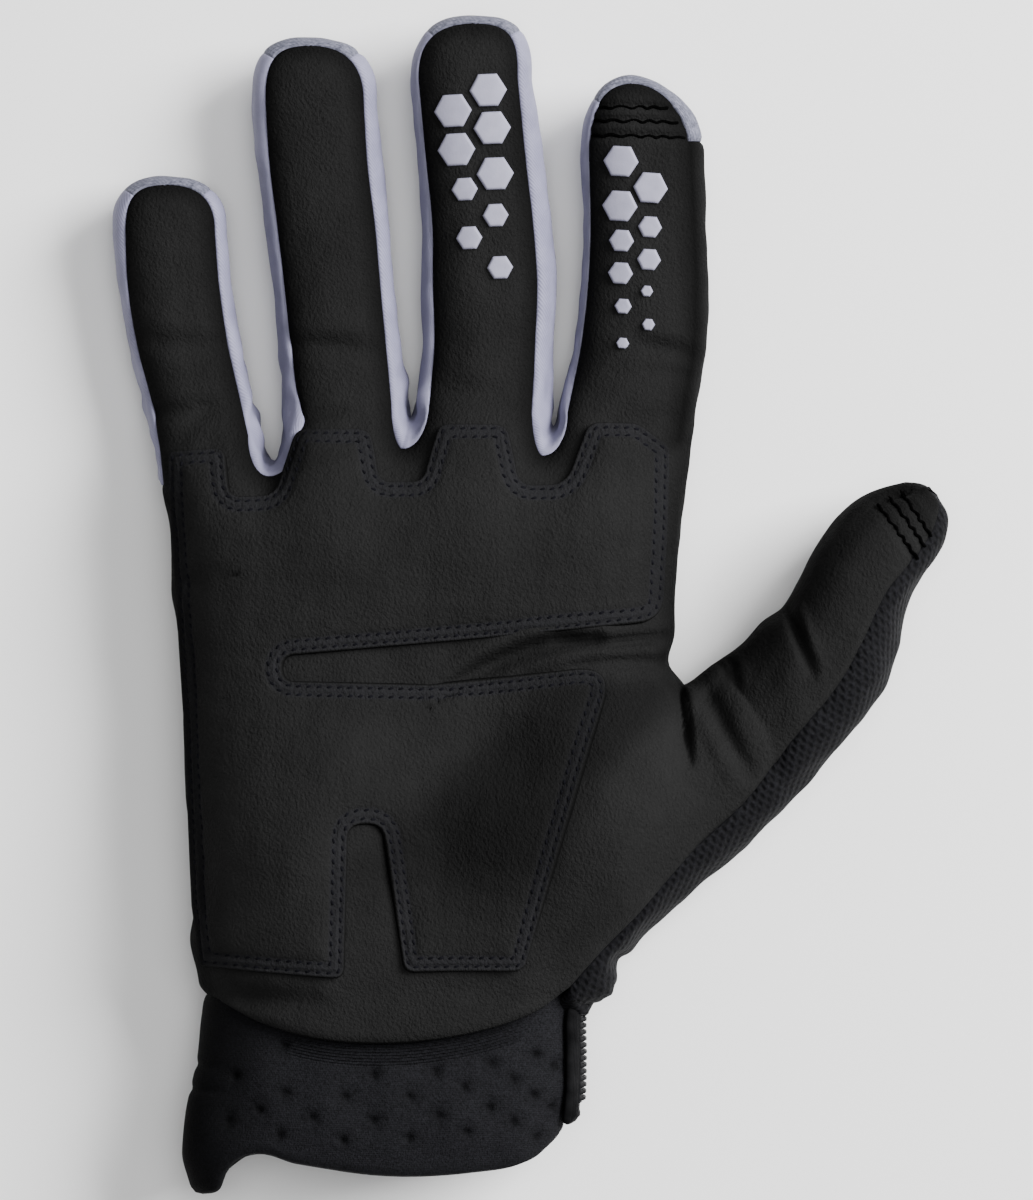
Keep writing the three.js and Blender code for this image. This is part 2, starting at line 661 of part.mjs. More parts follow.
function rightSections() {
  const faces = [1, -1].map((face) => {
    const hand = handFace(face);
    const thumb = thumbFace(face, hand);
    const side = hand.slice(0, PALM_ROWS_ABOVE_THUMB + 1).map((row) => row[row.length - 1]);
    const inner = thumb.slice(1).map((row) => row[0]);
    return [...side, ...inner, ...thumb[LAST_RUNG].slice(1)];
  });
  return rightOutline.map(({ x, y }, i) => {
    const rung = Math.min(LAST_RUNG, Math.max(0, i - PALM_ROWS_ABOVE_THUMB));
    const height = mix(SIDE_HEIGHT, THUMB[rung].mid, smooth(rung / THUMB_BLEND_RUNGS));
    return { front: faces[0][i], outline: new THREE.Vector3(x, y, height), back: faces[1][i] };
  });
}

function outerThumbSections() {
  const faces = [1, -1].map((face) => thumbFace(face, handFace(face)));
  return THUMB.map((row, rung) => {
    const height = mix(SIDE_HEIGHT, row.mid, smooth(rung / THUMB_BLEND_RUNGS));
    return {
      front: faces[0][rung][PALM_ROWS_BESIDE_THUMB],
      outline: new THREE.Vector3(row.outX, row.outY, height),
      back: faces[1][rung][PALM_ROWS_BESIDE_THUMB],
    };
  });
}

// Moves the end sections of a strip back by a clearance, so that they stay off their neighbour
function trimmed(sections, atStart, atEnd, clearance = END_CLEARANCE, places = ["front", "outline", "back"]) {
  const out = sections.map((section) => ({ ...section }));
  const pull = (i, j) => {
    places.forEach((place) => {
      const from = sections[i][place];
      const to = sections[j][place];
      const share = Math.min(1 - TRIM_LEAST, clearance / Math.max(TRIM_LEAST, from.distanceTo(to)));
      out[i][place] = from.clone().lerp(to, share);
    });
  };
  if (atStart) pull(0, 1);
  if (atEnd) pull(sections.length - 1, sections.length - 2);
  return out;
}

// Points of a strip: each section bulges from its front seam over the outline to its back seam.
// A free edge stops short of the seam by the clearance.
function strip(sections, freeFront, freeBack) {
  return sections.map(({ front, outline, back }) => {
    const middle = front.clone().add(back).multiplyScalar(0.5);
    const half = front.clone().sub(back).multiplyScalar(0.5);
    const bulge = outline.clone().sub(middle);
    bulge.addScaledVector(half, -bulge.dot(half) / half.lengthSq());
    const reach = half.length() + SECTION_REACH * bulge.length();
    const start = freeFront ? 1 - FRONT_SEAM_GAP / reach : 1;
    const end = freeBack ? -1 + BACK_SEAM_GAP / reach : -1;
    return Array.from({ length: PROFILE_CELLS + 1 }, (_, j) => {
      const angle = PROFILE_HALF_ANGLE * mix(start, end, j / PROFILE_CELLS);
      const rise = Math.sin(angle) / Math.sin(PROFILE_HALF_ANGLE);
      const edge = Math.cos(PROFILE_HALF_ANGLE);
      const out = (Math.cos(angle) - edge) / (1 - edge);
      return middle.clone().addScaledVector(half, rise).addScaledVector(bulge, out);
    });
  });
}

// A sheet of triangles whose equal points are shared
class Sheet {
  constructor() {
    this.points = [];
    this.faces = [];
    this.places = new Map();
  }

  point(p) {
    const key = [p.x, p.y, p.z].map((value) => Math.round(value / SAME_PLACE)).join();
    if (!this.places.has(key)) {
      this.places.set(key, this.points.length);
      this.points.push(p);
    }
    return this.places.get(key);
  }

  // Adds a grid of points, whose faces look towards rows x columns, or the other way if flipped
  grid(rows, flip = false) {
    const ids = rows.map((row) => row.map((p) => this.point(p)));
    const add = (a, b, c) => {
      if (a !== b && b !== c && c !== a) this.faces.push(flip ? [a, c, b] : [a, b, c]);
    };
    for (let i = 0; i + 1 < ids.length; i += 1) {
      for (let j = 0; j + 1 < ids[i].length; j += 1) {
        add(ids[i][j], ids[i + 1][j], ids[i + 1][j + 1]);
        add(ids[i][j], ids[i + 1][j + 1], ids[i][j + 1]);
      }
    }
    return this;
  }

  normals() {
    const sums = this.points.map(() => new THREE.Vector3());
    this.faces.forEach(([a, b, c]) => {
      const p = this.points[a];
      const u = this.points[b].clone().sub(p);
      const v = this.points[c].clone().sub(p);
      const n = u.cross(v);
      [a, b, c].forEach((id) => sums[id].add(n));
    });
    return sums.map((n) => n.normalize());
  }

  // Open edges as pairs of points, in the direction of their faces
  openEdges() {
    const edges = new Map();
    this.faces.forEach(([a, b, c]) => {
      [[a, b], [b, c], [c, a]].forEach(([p, q]) => {
        if (!edges.delete(q + "," + p)) edges.set(p + "," + q, [p, q]);
      });
    });
    return [...edges.values()];
  }

  // How far each point of an open edge moves into the sheet on the inner side, for a slanted cut
  slants(edges, wall) {
    const open = new Set(edges.flat());
    const moves = this.points.map(() => new THREE.Vector3());
    const reach = this.points.map(() => Infinity);
    this.faces.forEach((face) => {
      face.forEach((id) => {
        if (!open.has(id)) return;
        face.filter((other) => !open.has(other)).forEach((other) => {
          const way = this.points[other].clone().sub(this.points[id]);
          reach[id] = Math.min(reach[id], way.length());
          moves[id].add(way.normalize());
        });
      });
    });
    return moves.map((way, id) => {
      const length = Math.min(SLANT * wall, SLANT_LIMIT * reach[id]);
      return way.lengthSq() > 0 ? way.setLength(length) : way;
    });
  }

  // Closed body between the sheet raised by lift and the same sheet a wall lower
  body(wall, lift = 0, extra = () => 0) {
    const normals = this.normals();
    const count = this.points.length;
    const edges = this.openEdges();
    const slant = this.slants(edges, wall);
    const shifted = (id, height) => this.points[id].clone().addScaledVector(normals[id], height);
    const outer = this.points.map((p, id) => shifted(id, lift + extra(p)));
    const inner = this.points.map((_, id) => shifted(id, lift - wall).add(slant[id]));
    const faces = this.faces.flatMap(([a, b, c]) => [[a, b, c], [a + count, c + count, b + count]]);
    edges.forEach(([p, q]) => {
      faces.push([q, p, p + count], [q, p + count, q + count]);
    });
    const geometry = new THREE.BufferGeometry();
    const flat = [...outer, ...inner].flatMap((p) => [p.x, p.y, p.z]);
    geometry.setAttribute("position", new THREE.Float32BufferAttribute(flat, 3));
    geometry.setIndex(faces.flat());
    return geometry;
  }
}

// Solid for joining and cutting, and back
function solidOf(geometry) {
  return new wasm.Manifold(
    new wasm.Mesh({
      numProp: 3,
      vertProperties: new Float32Array(geometry.getAttribute("position").array),
      triVerts: new Uint32Array(geometry.index.array),
    }),
  );
}

function geometryOf(solid) {
  const mesh = solid.getMesh();
  const geometry = new THREE.BufferGeometry();
  geometry.setAttribute("position", new THREE.Float32BufferAttribute(mesh.vertProperties, 3));
  geometry.setIndex(Array.from(mesh.triVerts));
  return geometry;
}

// Upright prism over a closed outline, between two heights
function prism(outline, low, high) {
  const flat = outline.map(({ x, y }) => new THREE.Vector2(x, y));
  if (THREE.ShapeUtils.isClockWise(flat)) flat.reverse();
  const caps = THREE.ShapeUtils.triangulateShape(flat, []);
  const count = flat.length;
  const points = [low, high].flatMap((z) => flat.flatMap((p) => [p.x, p.y, z]));
  const faces = caps.flatMap(([a, b, c]) => [a, c, b, a + count, b + count, c + count]);
  for (let i = 0; i < count; i += 1) {
    const j = (i + 1) % count;
    faces.push(i, j, j + count, i, j + count, i + count);
  }
  const geometry = new THREE.BufferGeometry();
  geometry.setAttribute("position", new THREE.Float32BufferAttribute(points, 3));
  geometry.setIndex(faces);
  return geometry;
}

// Closed outline through corners, each rounded by an arc of its radius
function roundedOutline(corners) {
  return corners.flatMap((corner, i) => {
    const here = new THREE.Vector2(corner.x, corner.y);
    const last = corners[(i + corners.length - 1) % corners.length];
    const next = corners[(i + 1) % corners.length];
    const back = new THREE.Vector2(last.x, last.y).sub(here);
    const ahead = new THREE.Vector2(next.x, next.y).sub(here);
    const angle = Math.acos(back.clone().normalize().dot(ahead.clone().normalize()));
    const room = EDGE_SHARE * Math.min(back.length(), ahead.length());
    const reach = Math.min(room, corner.r / Math.tan(angle / 2));
    const start = here.clone().addScaledVector(back.normalize(), reach);
    const end = here.clone().addScaledVector(ahead.normalize(), reach);
    const pieces = angle > NEARLY_STRAIGHT ? 1 : 2;
    return new THREE.QuadraticBezierCurve(start, here, end).getPoints(pieces);
  });
}

const steps = (count, make) => Array.from({ length: count + 1 }, (_, i) => make(i / count, i));

// The suede palm with the fronts of the fingers and the thumb, wrapped round both sides of the hand
function palmSheet() {
  const hand = handFace(1);
  const sheet = new Sheet().grid(hand);
  FINGERS.forEach((_, k) => sheet.grid(fingerFace(k, 1), true));
  sheet.grid(thumbFace(1, hand), true);
  const left = trimmed(leftSections(), true, false, 2 * GAP, ["outline", "back"]);
  sheet.grid(strip(left, false, true), true);
  sheet.grid(strip(trimmed(rightSections().slice(0, -2), false, true), false, true));
  const rows = fingerRows().filter((along) => along <= 2);
  sheet.grid(strip(rows.map((along) => fingerSection(3, 1, along)), false, true), true);
  return sheet;
}

// The mesh back of the hand and the thumb, which shows as a strip along the thumb's outer side
function backSheet() {
  const hand = handFace(-1);
  const sheet = new Sheet().grid(hand, true);
  sheet.grid(thumbFace(-1, hand));
  const outer = trimmed(outerThumbSections(), false, true, THUMB_TIP_CLEARANCE, ["front", "outline"]);
  sheet.grid(strip(outer, true, false), true);
  return sheet;
}

// The knit back of a finger, which comes over its tip
function fingerBackSheet(index) {
  const rows = fingerFace(index, -1);
  rows[0] = rows[0].map((p, j) => {
    const next = rows[1][j];
    const pull = j === 0 || j === FINGER_CELLS ? KNIT_CORNER_GAP : KNIT_BASE_GAP;
    return p.clone().lerp(next, pull / p.distanceTo(next));
  });
  const sheet = new Sheet().grid(rows);
  const alongs = fingerRows();
  const rim = (side) => {
    const first = index === 3 && side > 0 ? alongs.indexOf(2) : alongs.length - 1 - RIM_CELLS;
    return alongs.slice(first).map((along) => fingerSection(index, side, along));
  };
  sheet.grid(strip(rim(-1), true, false));
  sheet.grid(strip(rim(1), true, false), true);
  return sheet;
}

// A stretch side strip, from the tip of one finger round the fork to the tip of the next
function gussetSheet(fork) {
  const alongs = fingerRows().slice(0, -RIM_CELLS);
  const down = [...alongs].reverse().map((along) => fingerSection(fork, 1, along));
  const up = alongs.slice(1).map((along) => fingerSection(fork + 1, -1, along));
  return new Sheet().grid(strip(trimmed([...down, ...up], true, true), true, true));
}

function outerGussetSheet() {
  const alongs = fingerRows().slice(0, -RIM_CELLS);
  const up = alongs.map((along) => fingerSection(0, -1, along));
  return new Sheet().grid(strip(trimmed(up, true, true), true, true));
}

// A point on the cuff's outside, by the angle round it (0 on the thumb side, 90 in front) and y
function cuffPoint(angle, y) {
  const left = at(CUFF, "y", y, "left");
  const right = at(CUFF, "y", y, "right");
  const front = at(CUFF, "y", y, "front");
  const back = at(CUFF, "y", y, "back");
  const bend = 2 / CUFF_POWER;
  return new THREE.Vector3(
    (left + right) / 2 + ((right - left) / 2) * power(Math.cos(radians(angle)), bend),
    y,
    (front + back) / 2 + ((front - back) / 2) * power(Math.sin(radians(angle)), bend),
  );
}

function cuffSheet() {
  const rows = CUFF_ROWS.map((down) =>
    steps(CUFF_AROUND, (round) => {
      const angle = -360 * round;
      const edge = Math.sin(radians(angle)) >= 0 ? CUFF_FRONT_EDGE : CUFF_BACK_EDGE;
      const lowest = at(edge, "x", cuffPoint(angle, CUFF_EDGE_ROW).x, "y");
      return cuffPoint(angle, mix(CUFF_TOP, lowest, down));
    }),
  );
  return new Sheet().grid(rows);
}

function strapSheet() {
  const span = STRAP_SPAN;
  const rows = steps(span.rows, (down) =>
    steps(span.cells, (round) => cuffPoint(mix(span.from, span.to, round), mix(span.top, span.bottom, down))),
  );
  return new Sheet().grid(rows);
}

function ribSheet() {
  const span = RIB_SPAN;
  const bottom = span.top - span.pitch * span.count;
  const rows = steps(span.count * 2, (down) =>
    steps(span.cells, (round) => cuffPoint(mix(span.from, span.to, round), mix(span.top, bottom, down))),
  );
  return new Sheet().grid(rows);
}

// Height of a rib's crest at a place: every second row is a crest
function ribCrest(p) {
  const place = (RIB_SPAN.top - p.y) / RIB_SPAN.pitch;
  return Math.abs(place - Math.round(place)) > RIB_ROWS_APART ? RIB_SPAN.tall : 0;
}

// Materials
const paint = (color, roughness) => new THREE.MeshStandardMaterial({ color, roughness, metalness: 0 });
const suede = paint(0x232325, 0.95);
const padSuede = paint(0x28282b, 0.95);
const lavender = paint(0xaaa8b9, 0.75);
const airMesh = paint(0x1a1c22, 0.8);
const neoprene = paint(0x191b20, 0.85);
const rubber = paint(0xacaaba, 0.5);
const webbing = paint(0x2c2e34, 0.6);
const hardRubber = paint(0x202228, 0.55);

const glove = new THREE.Group();
const add = (name, geometry, material) => {
  const mesh = new THREE.Mesh(geometry, material);
  mesh.name = name;
  glove.add(mesh);
};

const palm = palmSheet();
add("palm_panel", palm.body(SUEDE), suede);

const padLayer = solidOf(palm.body(PAD, GAP + PAD));
const padPrism = solidOf(prism(roundedOutline(PAD_CORNERS), PAD_LOWEST, CUT_TOP));
add("palm_pad", geometryOf(padLayer.intersect(padPrism)), padSuede);

add("hand_back", backSheet().body(MESH), airMesh);
FINGERS.forEach((finger, k) => {
  add(finger.name + "_back", fingerBackSheet(k).body(KNIT), lavender);
});
add("gusset_pinky_outer", outerGussetSheet().body(STRETCH), lavender);
["gusset_pinky_ring", "gusset_ring_middle", "gusset_middle_index"].forEach((name, fork) => {
  add(name, gussetSheet(fork).body(STRETCH), lavender);
});

Object.entries(GRIPS).forEach(([name, { tilt, rows }]) => {
  const index = FINGERS.findIndex((finger) => finger.name === name);
  const layer = solidOf(new Sheet().grid(fingerFace(index, 1), true).body(GRIP, GAP + GRIP));
  rows.forEach(({ x, y, width }, i) => {
    const outline = Array.from({ length: 6 }, (_, corner) => {
      const turn = radians(60 * corner - tilt);
      return { x: x + (Math.cos(turn) * width) / 2, y: y + (Math.sin(turn) * width) / 2 };
    });
    const grip = layer.intersect(solidOf(prism(outline, PAD_LOWEST, CUT_TOP)));
    add(name + "_grip_" + (i + 1), geometryOf(grip), rubber);
  });
});

add("cuff", cuffSheet().body(NEOPRENE), neoprene);
const strapTop = STRAP_CLEARANCE + STRAP;
add("closure_strap", strapSheet().body(STRAP, strapTop), webbing);
const ribFoot = strapTop + GAP;
add("strap_grip", ribSheet().body(RIB_SPAN.base, ribFoot + RIB_SPAN.base, ribCrest), hardRubber);

export default glove;
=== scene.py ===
"""Looks of a motocross glove for the right hand, lying on its back with the palm up.

Shapes are worked out in millimetres in the frame of the part: +Z is up, +Y runs from the cuff
to the fingertips and +X to the thumb side. They become metres as they are put into a mesh.
"""

import bpy
import numpy as np
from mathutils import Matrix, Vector
from mathutils.geometry import delaunay_2d_cdt


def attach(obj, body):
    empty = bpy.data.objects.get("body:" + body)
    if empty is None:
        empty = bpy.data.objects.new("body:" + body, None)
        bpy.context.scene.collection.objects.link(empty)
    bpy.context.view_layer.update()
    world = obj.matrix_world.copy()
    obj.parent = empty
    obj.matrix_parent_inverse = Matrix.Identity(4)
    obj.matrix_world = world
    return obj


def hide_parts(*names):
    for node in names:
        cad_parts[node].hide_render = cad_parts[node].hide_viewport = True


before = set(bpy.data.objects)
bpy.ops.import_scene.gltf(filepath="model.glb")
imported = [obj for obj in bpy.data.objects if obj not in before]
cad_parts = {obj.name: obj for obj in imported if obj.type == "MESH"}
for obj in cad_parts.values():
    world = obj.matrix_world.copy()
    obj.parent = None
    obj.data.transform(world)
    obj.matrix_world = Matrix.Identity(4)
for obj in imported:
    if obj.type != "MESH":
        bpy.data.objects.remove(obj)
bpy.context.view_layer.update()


def table(columns, *rows):
    """Columns of numbers by name, from rows of them."""
    return dict(zip(columns.split(), np.array(rows, dtype=float).T))


# Walls and clearances of the shell
SUEDE_WALL = 1.2
KNIT_WALL = 1.2
STRETCH_WALL = 1.0
MESH_WALL = 1.5
CUFF_WALL = 2.6
PAD_HEIGHT = 1.55
GRIP_HEIGHT = 0.85
FRONT_SEAM_GAP = 0.1
BACK_SEAM_GAP = 0.35

# How the soft forms swell
FINGER_POWER = 2.6
PALM_POWER = 3.5
BACK_POWER = 5
SIDE_HEIGHT = 14
FLATTENING = 0.5
KNUCKLE_BLEND = 18
SIDE_INSET = 3
OUTER_SEAM_INSET = 0.3
OUTER_SEAM_ROWS = 12
OUTER_SEAM_TAPER = 7.7
PROFILE_HALF_ANGLE = np.radians(75)
SECTION_REACH = 0.6

# Cells of the surfaces, and points that are compared in one block
FINGER_CELLS = 30
CROTCH_CELLS = 14
SHAFT_CELLS = 66
TIP_CELLS = 30
ROWS_ABOVE_THUMB = 52
ROWS_BESIDE_THUMB = 72
THUMB_CELLS = 150
PROFILE_CELLS = 14
HEM_CELLS = 8
BLOCK = 3000

# Fingers: thickness, place of the tip, and outline and seam insets by the height y along the hand
FINGERS = [
    dict(
        name="pinky", thick=18, tip_thick=14.5, lift=4,
        shoulder=74, tip=85.8, tip_seam=1.8, tip_shift=-0.6, tip_power=0.75,
        stations=table(
            "y left right seam_left seam_right",
            (23.7, -74.0, -50.8, 0.3, 2.8),
            (29.7, -75.1, -52.2, 0.8, 2.8),
            (39.7, -77.4, -55.3, 1.4, 2.1),
            (51.7, -80.6, -58.0, 1.5, 2.1),
            (63.7, -82.8, -59.9, 1.9, 2.0),
            (74.0, -83.8, -60.9, 2.6, 1.8),
        ),
    ),
    dict(
        name="ring", thick=19.5, tip_thick=15.5, lift=5,
        shoulder=99.7, tip=113.5, tip_seam=1.8, tip_shift=-1.0, tip_power=0.75,
        stations=table(
            "y left right seam_left seam_right",
            (28.7, -50.2, -24.0, 2.8, 3.2),
            (33.0, -49.9, -24.1, 3.2, 3.2),
            (36.5, -49.7, -24.1, 4.3, 3.2),
            (39.7, -49.5, -24.2, 3.4, 3.2),
            (43.0, -49.8, -24.6, 2.8, 3.1),
            (51.7, -50.7, -25.9, 2.5, 2.6),
            (63.7, -51.7, -27.3, 2.2, 2.3),
            (75.7, -53.3, -28.1, 2.4, 2.6),
            (87.7, -54.9, -29.3, 2.5, 2.9),
            (99.7, -55.9, -30.7, 2.8, 2.2),
        ),
    ),
    dict(
        name="middle", thick=20, tip_thick=16, lift=5.5,
        shoulder=105, tip=117.7, tip_seam=1.6, tip_shift=1.0, tip_power=0.75,
        stations=table(
            "y left right seam_left seam_right",
            (32.7, -23.8, 4.0, 2.4, 4.0),
            (39.7, -22.9, 4.2, 2.3, 3.4),
            (51.7, -21.7, 4.7, 2.2, 3.4),
            (63.7, -21.8, 5.2, 2.0, 3.5),
            (75.7, -21.6, 4.5, 1.7, 3.6),
            (87.7, -22.6, 2.9, 1.5, 3.4),
            (105.0, -24.2, 0.4, 1.5, 2.6),
        ),
    ),
    dict(
        name="index", thick=19.5, tip_thick=15.5, lift=5,
        shoulder=90, tip=105.6, tip_seam=1.4, tip_shift=-2.0, tip_power=0.95,
        stations=table(
            "y left right seam_left seam_right",
            (32.7, 4.4, 32.5, 1.6, 2.6),
            (39.7, 6.2, 33.6, 1.2, 2.6),
            (51.7, 8.8, 35.5, 1.0, 2.6),
            (63.7, 10.2, 35.8, 1.0, 2.6),
            (75.7, 10.6, 35.4, 1.1, 2.6),
            (90.0, 10.2, 34.7, 1.2, 2.6),
        ),
    ),
]

# Bottoms of the three forks between the fingers: outline, front seam and the rise of the fork
FORKS = table(
    "x y seam_x seam_y rise",
    (-51.2, 28.3, -52.0, 25.7, 8),
    (-23.8, 37.1, -25.4, 31.1, 8.5),
    (4.8, 35.1, 2.6, 29.7, 8.5),
)
OUTER_BASE = {"left": 23.7, "right": 32.7}
OUTER_RISE = 9

# Where the knit comes over the tips, as a place along a finger
KNIT_CAP = 2.5
INDEX_CAP = 2.1

# The hand without its fingers: outline left, swelling width right, and height of the palm
HAND = table(
    "y left right top",
    (-90.0, -66.4, 11.5, 32.0),
    (-79.0, -65.9, 12.0, 33.0),
    (-74.3, -66.2, 16.0, 33.6),
    (-66.9, -67.8, 22.8, 34.0),
    (-60.3, -67.0, 30.0, 34.2),
    (-50.3, -67.6, 40.0, 34.0),
    (-38.3, -68.8, 48.0, 33.2),
    (-26.3, -69.4, 47.0, 32.0),
    (-10.3, -69.8, 36.5, 30.5),
    (1.0, -71.3, 31.0, 30.0),
    (13.7, -72.0, 30.6, 29.0),
    (23.7, -74.0, 31.4, 26.6),
    (33.0, -75.6, 32.6, 23.4),
    (50.0, -80.0, 35.4, 21.0),
)
HAND_LEFT_END = -76.9
PALM_RIGHT = table(
    "y x",
    (-16.1, 31.0),
    (-12.0, 27.9),
    (-6.3, 28.9),
    (0.7, 28.9),
    (9.7, 29.8),
    (19.7, 30.8),
    (32.7, 32.5),
)

# Mounds and hollows of the palm side
RELIEF = table(
    "x y rx ry height",
    (-62, 12, 11, 12, 1.2),
    (-38, 18, 11, 12, 1.6),
    (-11, 19, 11, 12, 1.6),
    (17, 18, 11, 13, 1.6),
    (-14, -18, 30, 16, -2.4),
    (-6, -28, 12, 12, -2.6),
    (-20, -48, 12, 18, -3.6),
    (16, -47, 17, 22, 5.2),
    (-48, -46, 14, 24, 2.6),
    (34, -20, 8, 10, -4.5),
    (-52, 27, 5, 8, -2.6),
    (-25, 33, 5, 8, -2.6),
    (3, 32, 5, 8, -2.6),
)

# Thumb: rungs from its inner outline over the suede's seam to its outer outline
THUMB = table(
    "rung in_x in_y seam_x seam_y out_x out_y mid thick closing",
    (0, 31.0, -16.1, 8.0, -76.5, 12.0, -79.9, 14, 33, 0),
    (1, 32.4, -15.1, 14.0, -69.7, 17.6, -73.8, 14.2, 32.5, 0),
    (2, 34.8, -13.5, 22.0, -61.5, 23.2, -66.3, 14.4, 32, 0),
    (3, 38.4, -10.9, 32.6, -49.3, 34.8, -56.1, 14.7, 31, 0),
    (4, 42.4, -7.9, 43.0, -39.3, 46.6, -46.1, 15, 30, 0),
    (5, 46.4, -3.9, 52.0, -27.3, 56.4, -35.3, 15.3, 28.5, 0),
    (6, 50.0, -1.1, 58.4, -19.9, 64.6, -25.9, 15.5, 27, 0),
    (7, 51.8, 1.3, 63.6, -12.1, 70.8, -17.9, 15.6, 26, 0),
    (8, 53.4, 4.3, 67.6, -4.1, 73.6, -8.9, 15.7, 25.5, 0),
    (9, 55.6, 8.7, 70.8, 1.9, 75.6, -0.5, 15.8, 25, 0),
    (10, 58.2, 13.3, 74.6, 6.7, 78.2, 4.9, 15.8, 24, 0.1),
    (11, 61.4, 17.5, 78.2, 10.7, 81.2, 9.5, 15.8, 23, 0.3),
    (12, 65.6, 20.9, 80.6, 15.1, 82.8, 13.1, 15.8, 22, 0.5),
    (13, 70.4, 23.3, 81.4, 19.7, 83.4, 17.5, 15.8, 21, 0.7),
    (14, 75.0, 24.5, 79.4, 22.7, 81.4, 21.7, 15.8, 20, 0.85),
)
LAST_RUNG = 14
THUMB_BLEND_RUNGS = 6
THUMB_TIP_BULGE = 0.9

# Thumb's tip, near which the seams lie flat
THUMB_TIP = (81.4, 21.7)
TIP_UNPRESSED = 5

# Lower edge of the suede over the cuff
HEEL = table(
    "x y",
    (-65.8, -76.9),
    (-60.0, -79.8),
    (-54.0, -82.6),
    (-46.0, -85.0),
    (-37.0, -86.4),
    (-26.0, -86.6),
    (-16.0, -85.5),
    (-6.0, -83.3),
    (2.0, -80.4),
    (8.0, -76.5),
)
BACK_HEEL_BEND = -2

# Pad on the palm: corners of its outline with the radius of each
PAD_CORNERS = table(
    "x y radius",
    (-72.0, 30.3, 1.6),
    (-60.6, 30.7, 2.6),
    (-59.4, 21.1, 2.6),
    (-50.4, 21.1, 4.0),
    (-46.4, 34.5, 3.2),
    (-31.8, 34.5, 3.4),
    (-29.8, 23.9, 2.8),
    (-21.2, 23.9, 2.8),
    (-18.0, 35.5, 2.8),
    (-4.6, 35.5, 3.4),
    (-2.2, 23.3, 3.2),
    (7.2, 23.3, 5.2),
    (11.6, 35.9, 3.6),
    (21.2, 35.9, 4.8),
    (27.6, 31.2, 3.2),
    (26.0, -3.7, 6.0),
    (-48.8, -10.5, 2.4),
    (-48.8, -15.3, 2.4),
    (-20.0, -15.9, 8.0),
    (17.0, -12.1, 5.6),
    (-1.2, -72.5, 3.2),
    (-25.0, -72.9, 2.6),
    (-29.6, -43.7, 3.4),
    (-36.0, -43.7, 3.0),
    (-36.6, -74.1, 2.4),
    (-65.2, -71.9, 1.2),
    (-66.6, -60.0, 4.0),
    (-68.2, -25.0, 20.0),
    (-69.9, 2.0, 20.0),
)

# Rings of points inside the pad's outline, the pitch of its cells and how deep it sinks in
PAD_RINGS = (0.14, 0.38, 0.75, 1.15, 1.6, 2.1, 2.85, 3.5)
PAD_OUTLINE_PITCH = 0.45
PAD_PITCH = 0.8
PAD_FIELD_INSET = 4.0
PAD_SUNK = 0.6

# Stitches of the pad: distance of the two rows to its edge, pitch, slant and size of the thread
STITCH_ROWS = (1.15, 2.85)
STITCH_PITCH = 2.0
STITCH_SLANT = np.radians(30)
STITCH_LENGTH = 1.15
STITCH_RADIUS = 0.32

# Wavy rows of thread on the tips of the index finger and the thumb
TIP_THREAD_RADIUS = 0.34
INDEX_TIP_ROWS = table(
    "x0 y0 x1 y1 waves",
    (14.0, 98.9, 27.6, 98.9, 4.0),
    (12.8, 96.4, 29.6, 95.9, 5.0),
    (12.4, 93.5, 31.0, 92.9, 5.5),
)
THUMB_TIP_ROWS = table(
    "x0 y0 x1 y1 waves",
    (73.7, 22.3, 79.6, 13.3, 4.5),
    (71.5, 21.1, 78.4, 11.3, 5.0),
    (69.2, 19.5, 76.9, 8.8, 5.5),
)

# Hexagon grips: middle of each and its width from corner to corner
GRIPS = {
    "middle": dict(
        tilt=-2.5,
        rows=table(
            "x y width",
            (-8.4, 102.3, 7.4),
            (-15.3, 98.2, 7.4),
            (-7.6, 94.8, 7.4),
            (-14.6, 90.5, 7.4),
            (-7.0, 85.7, 7.4),
            (-13.0, 82.6, 5.2),
            (-6.9, 77.4, 5.2),
            (-12.1, 72.9, 5.2),
            (-6.0, 67.0, 5.2),
        ),
    ),
    "index": dict(
        tilt=4,
        rows=table(
            "x y width",
            (18.2, 88.2, 6.9),
            (24.0, 82.9, 6.9),
            (18.0, 79.3, 6.9),
            (23.9, 75.1, 4.8),
            (18.3, 72.4, 4.9),
            (23.7, 68.6, 4.8),
            (18.1, 65.9, 4.9),
            (23.3, 62.3, 2.5),
            (18.6, 59.3, 3.4),
            (23.6, 55.6, 2.6),
            (18.5, 51.9, 2.5),
        ),
    ),
}

# Cuff: outline and heights by y, and its lower edge in front and behind
CUFF = table(
    "y left right front back",
    (-120.0, -66.6, 2.0, 28.4, 4.0),
    (-114.3, -68.6, 3.6, 29.0, 3.4),
    (-110.3, -69.7, 5.0, 29.6, 2.9),
    (-106.3, -69.5, 6.4, 30.2, 2.9),
    (-98.3, -68.0, 7.4, 30.4, 2.9),
    (-90.3, -66.5, 7.6, 29.8, 2.9),
    (-82.3, -65.3, 7.6, 29.2, 2.9),
    (-78.6, -64.6, 8.4, 29.0, 3.0),
    (-76.8, -62.6, 8.6, 28.8, 3.6),
    (-73.0, -62.0, 8.4, 28.6, 3.8),
)
CUFF_POWER = 2.8
CUFF_TOP = -74
CUFF_FRONT_EDGE = table(
    "x y",
    (-69.0, -117.6),
    (-64.0, -116.2),
    (-61.0, -112.5),
    (-58.0, -109.9),
    (-53.0, -108.8),
    (-46.0, -110.7),
    (-28.0, -113.1),
    (-10.0, -112.6),
    (2.0, -110.2),
    (7.4, -103.5),
)
CUFF_BACK_EDGE = table(
    "x y",
    (-69.0, -117.6),
    (-62.0, -113.5),
    (-54.0, -109.5),
    (-28.0, -109.0),
    (0.0, -108.0),
    (7.4, -103.5),
)
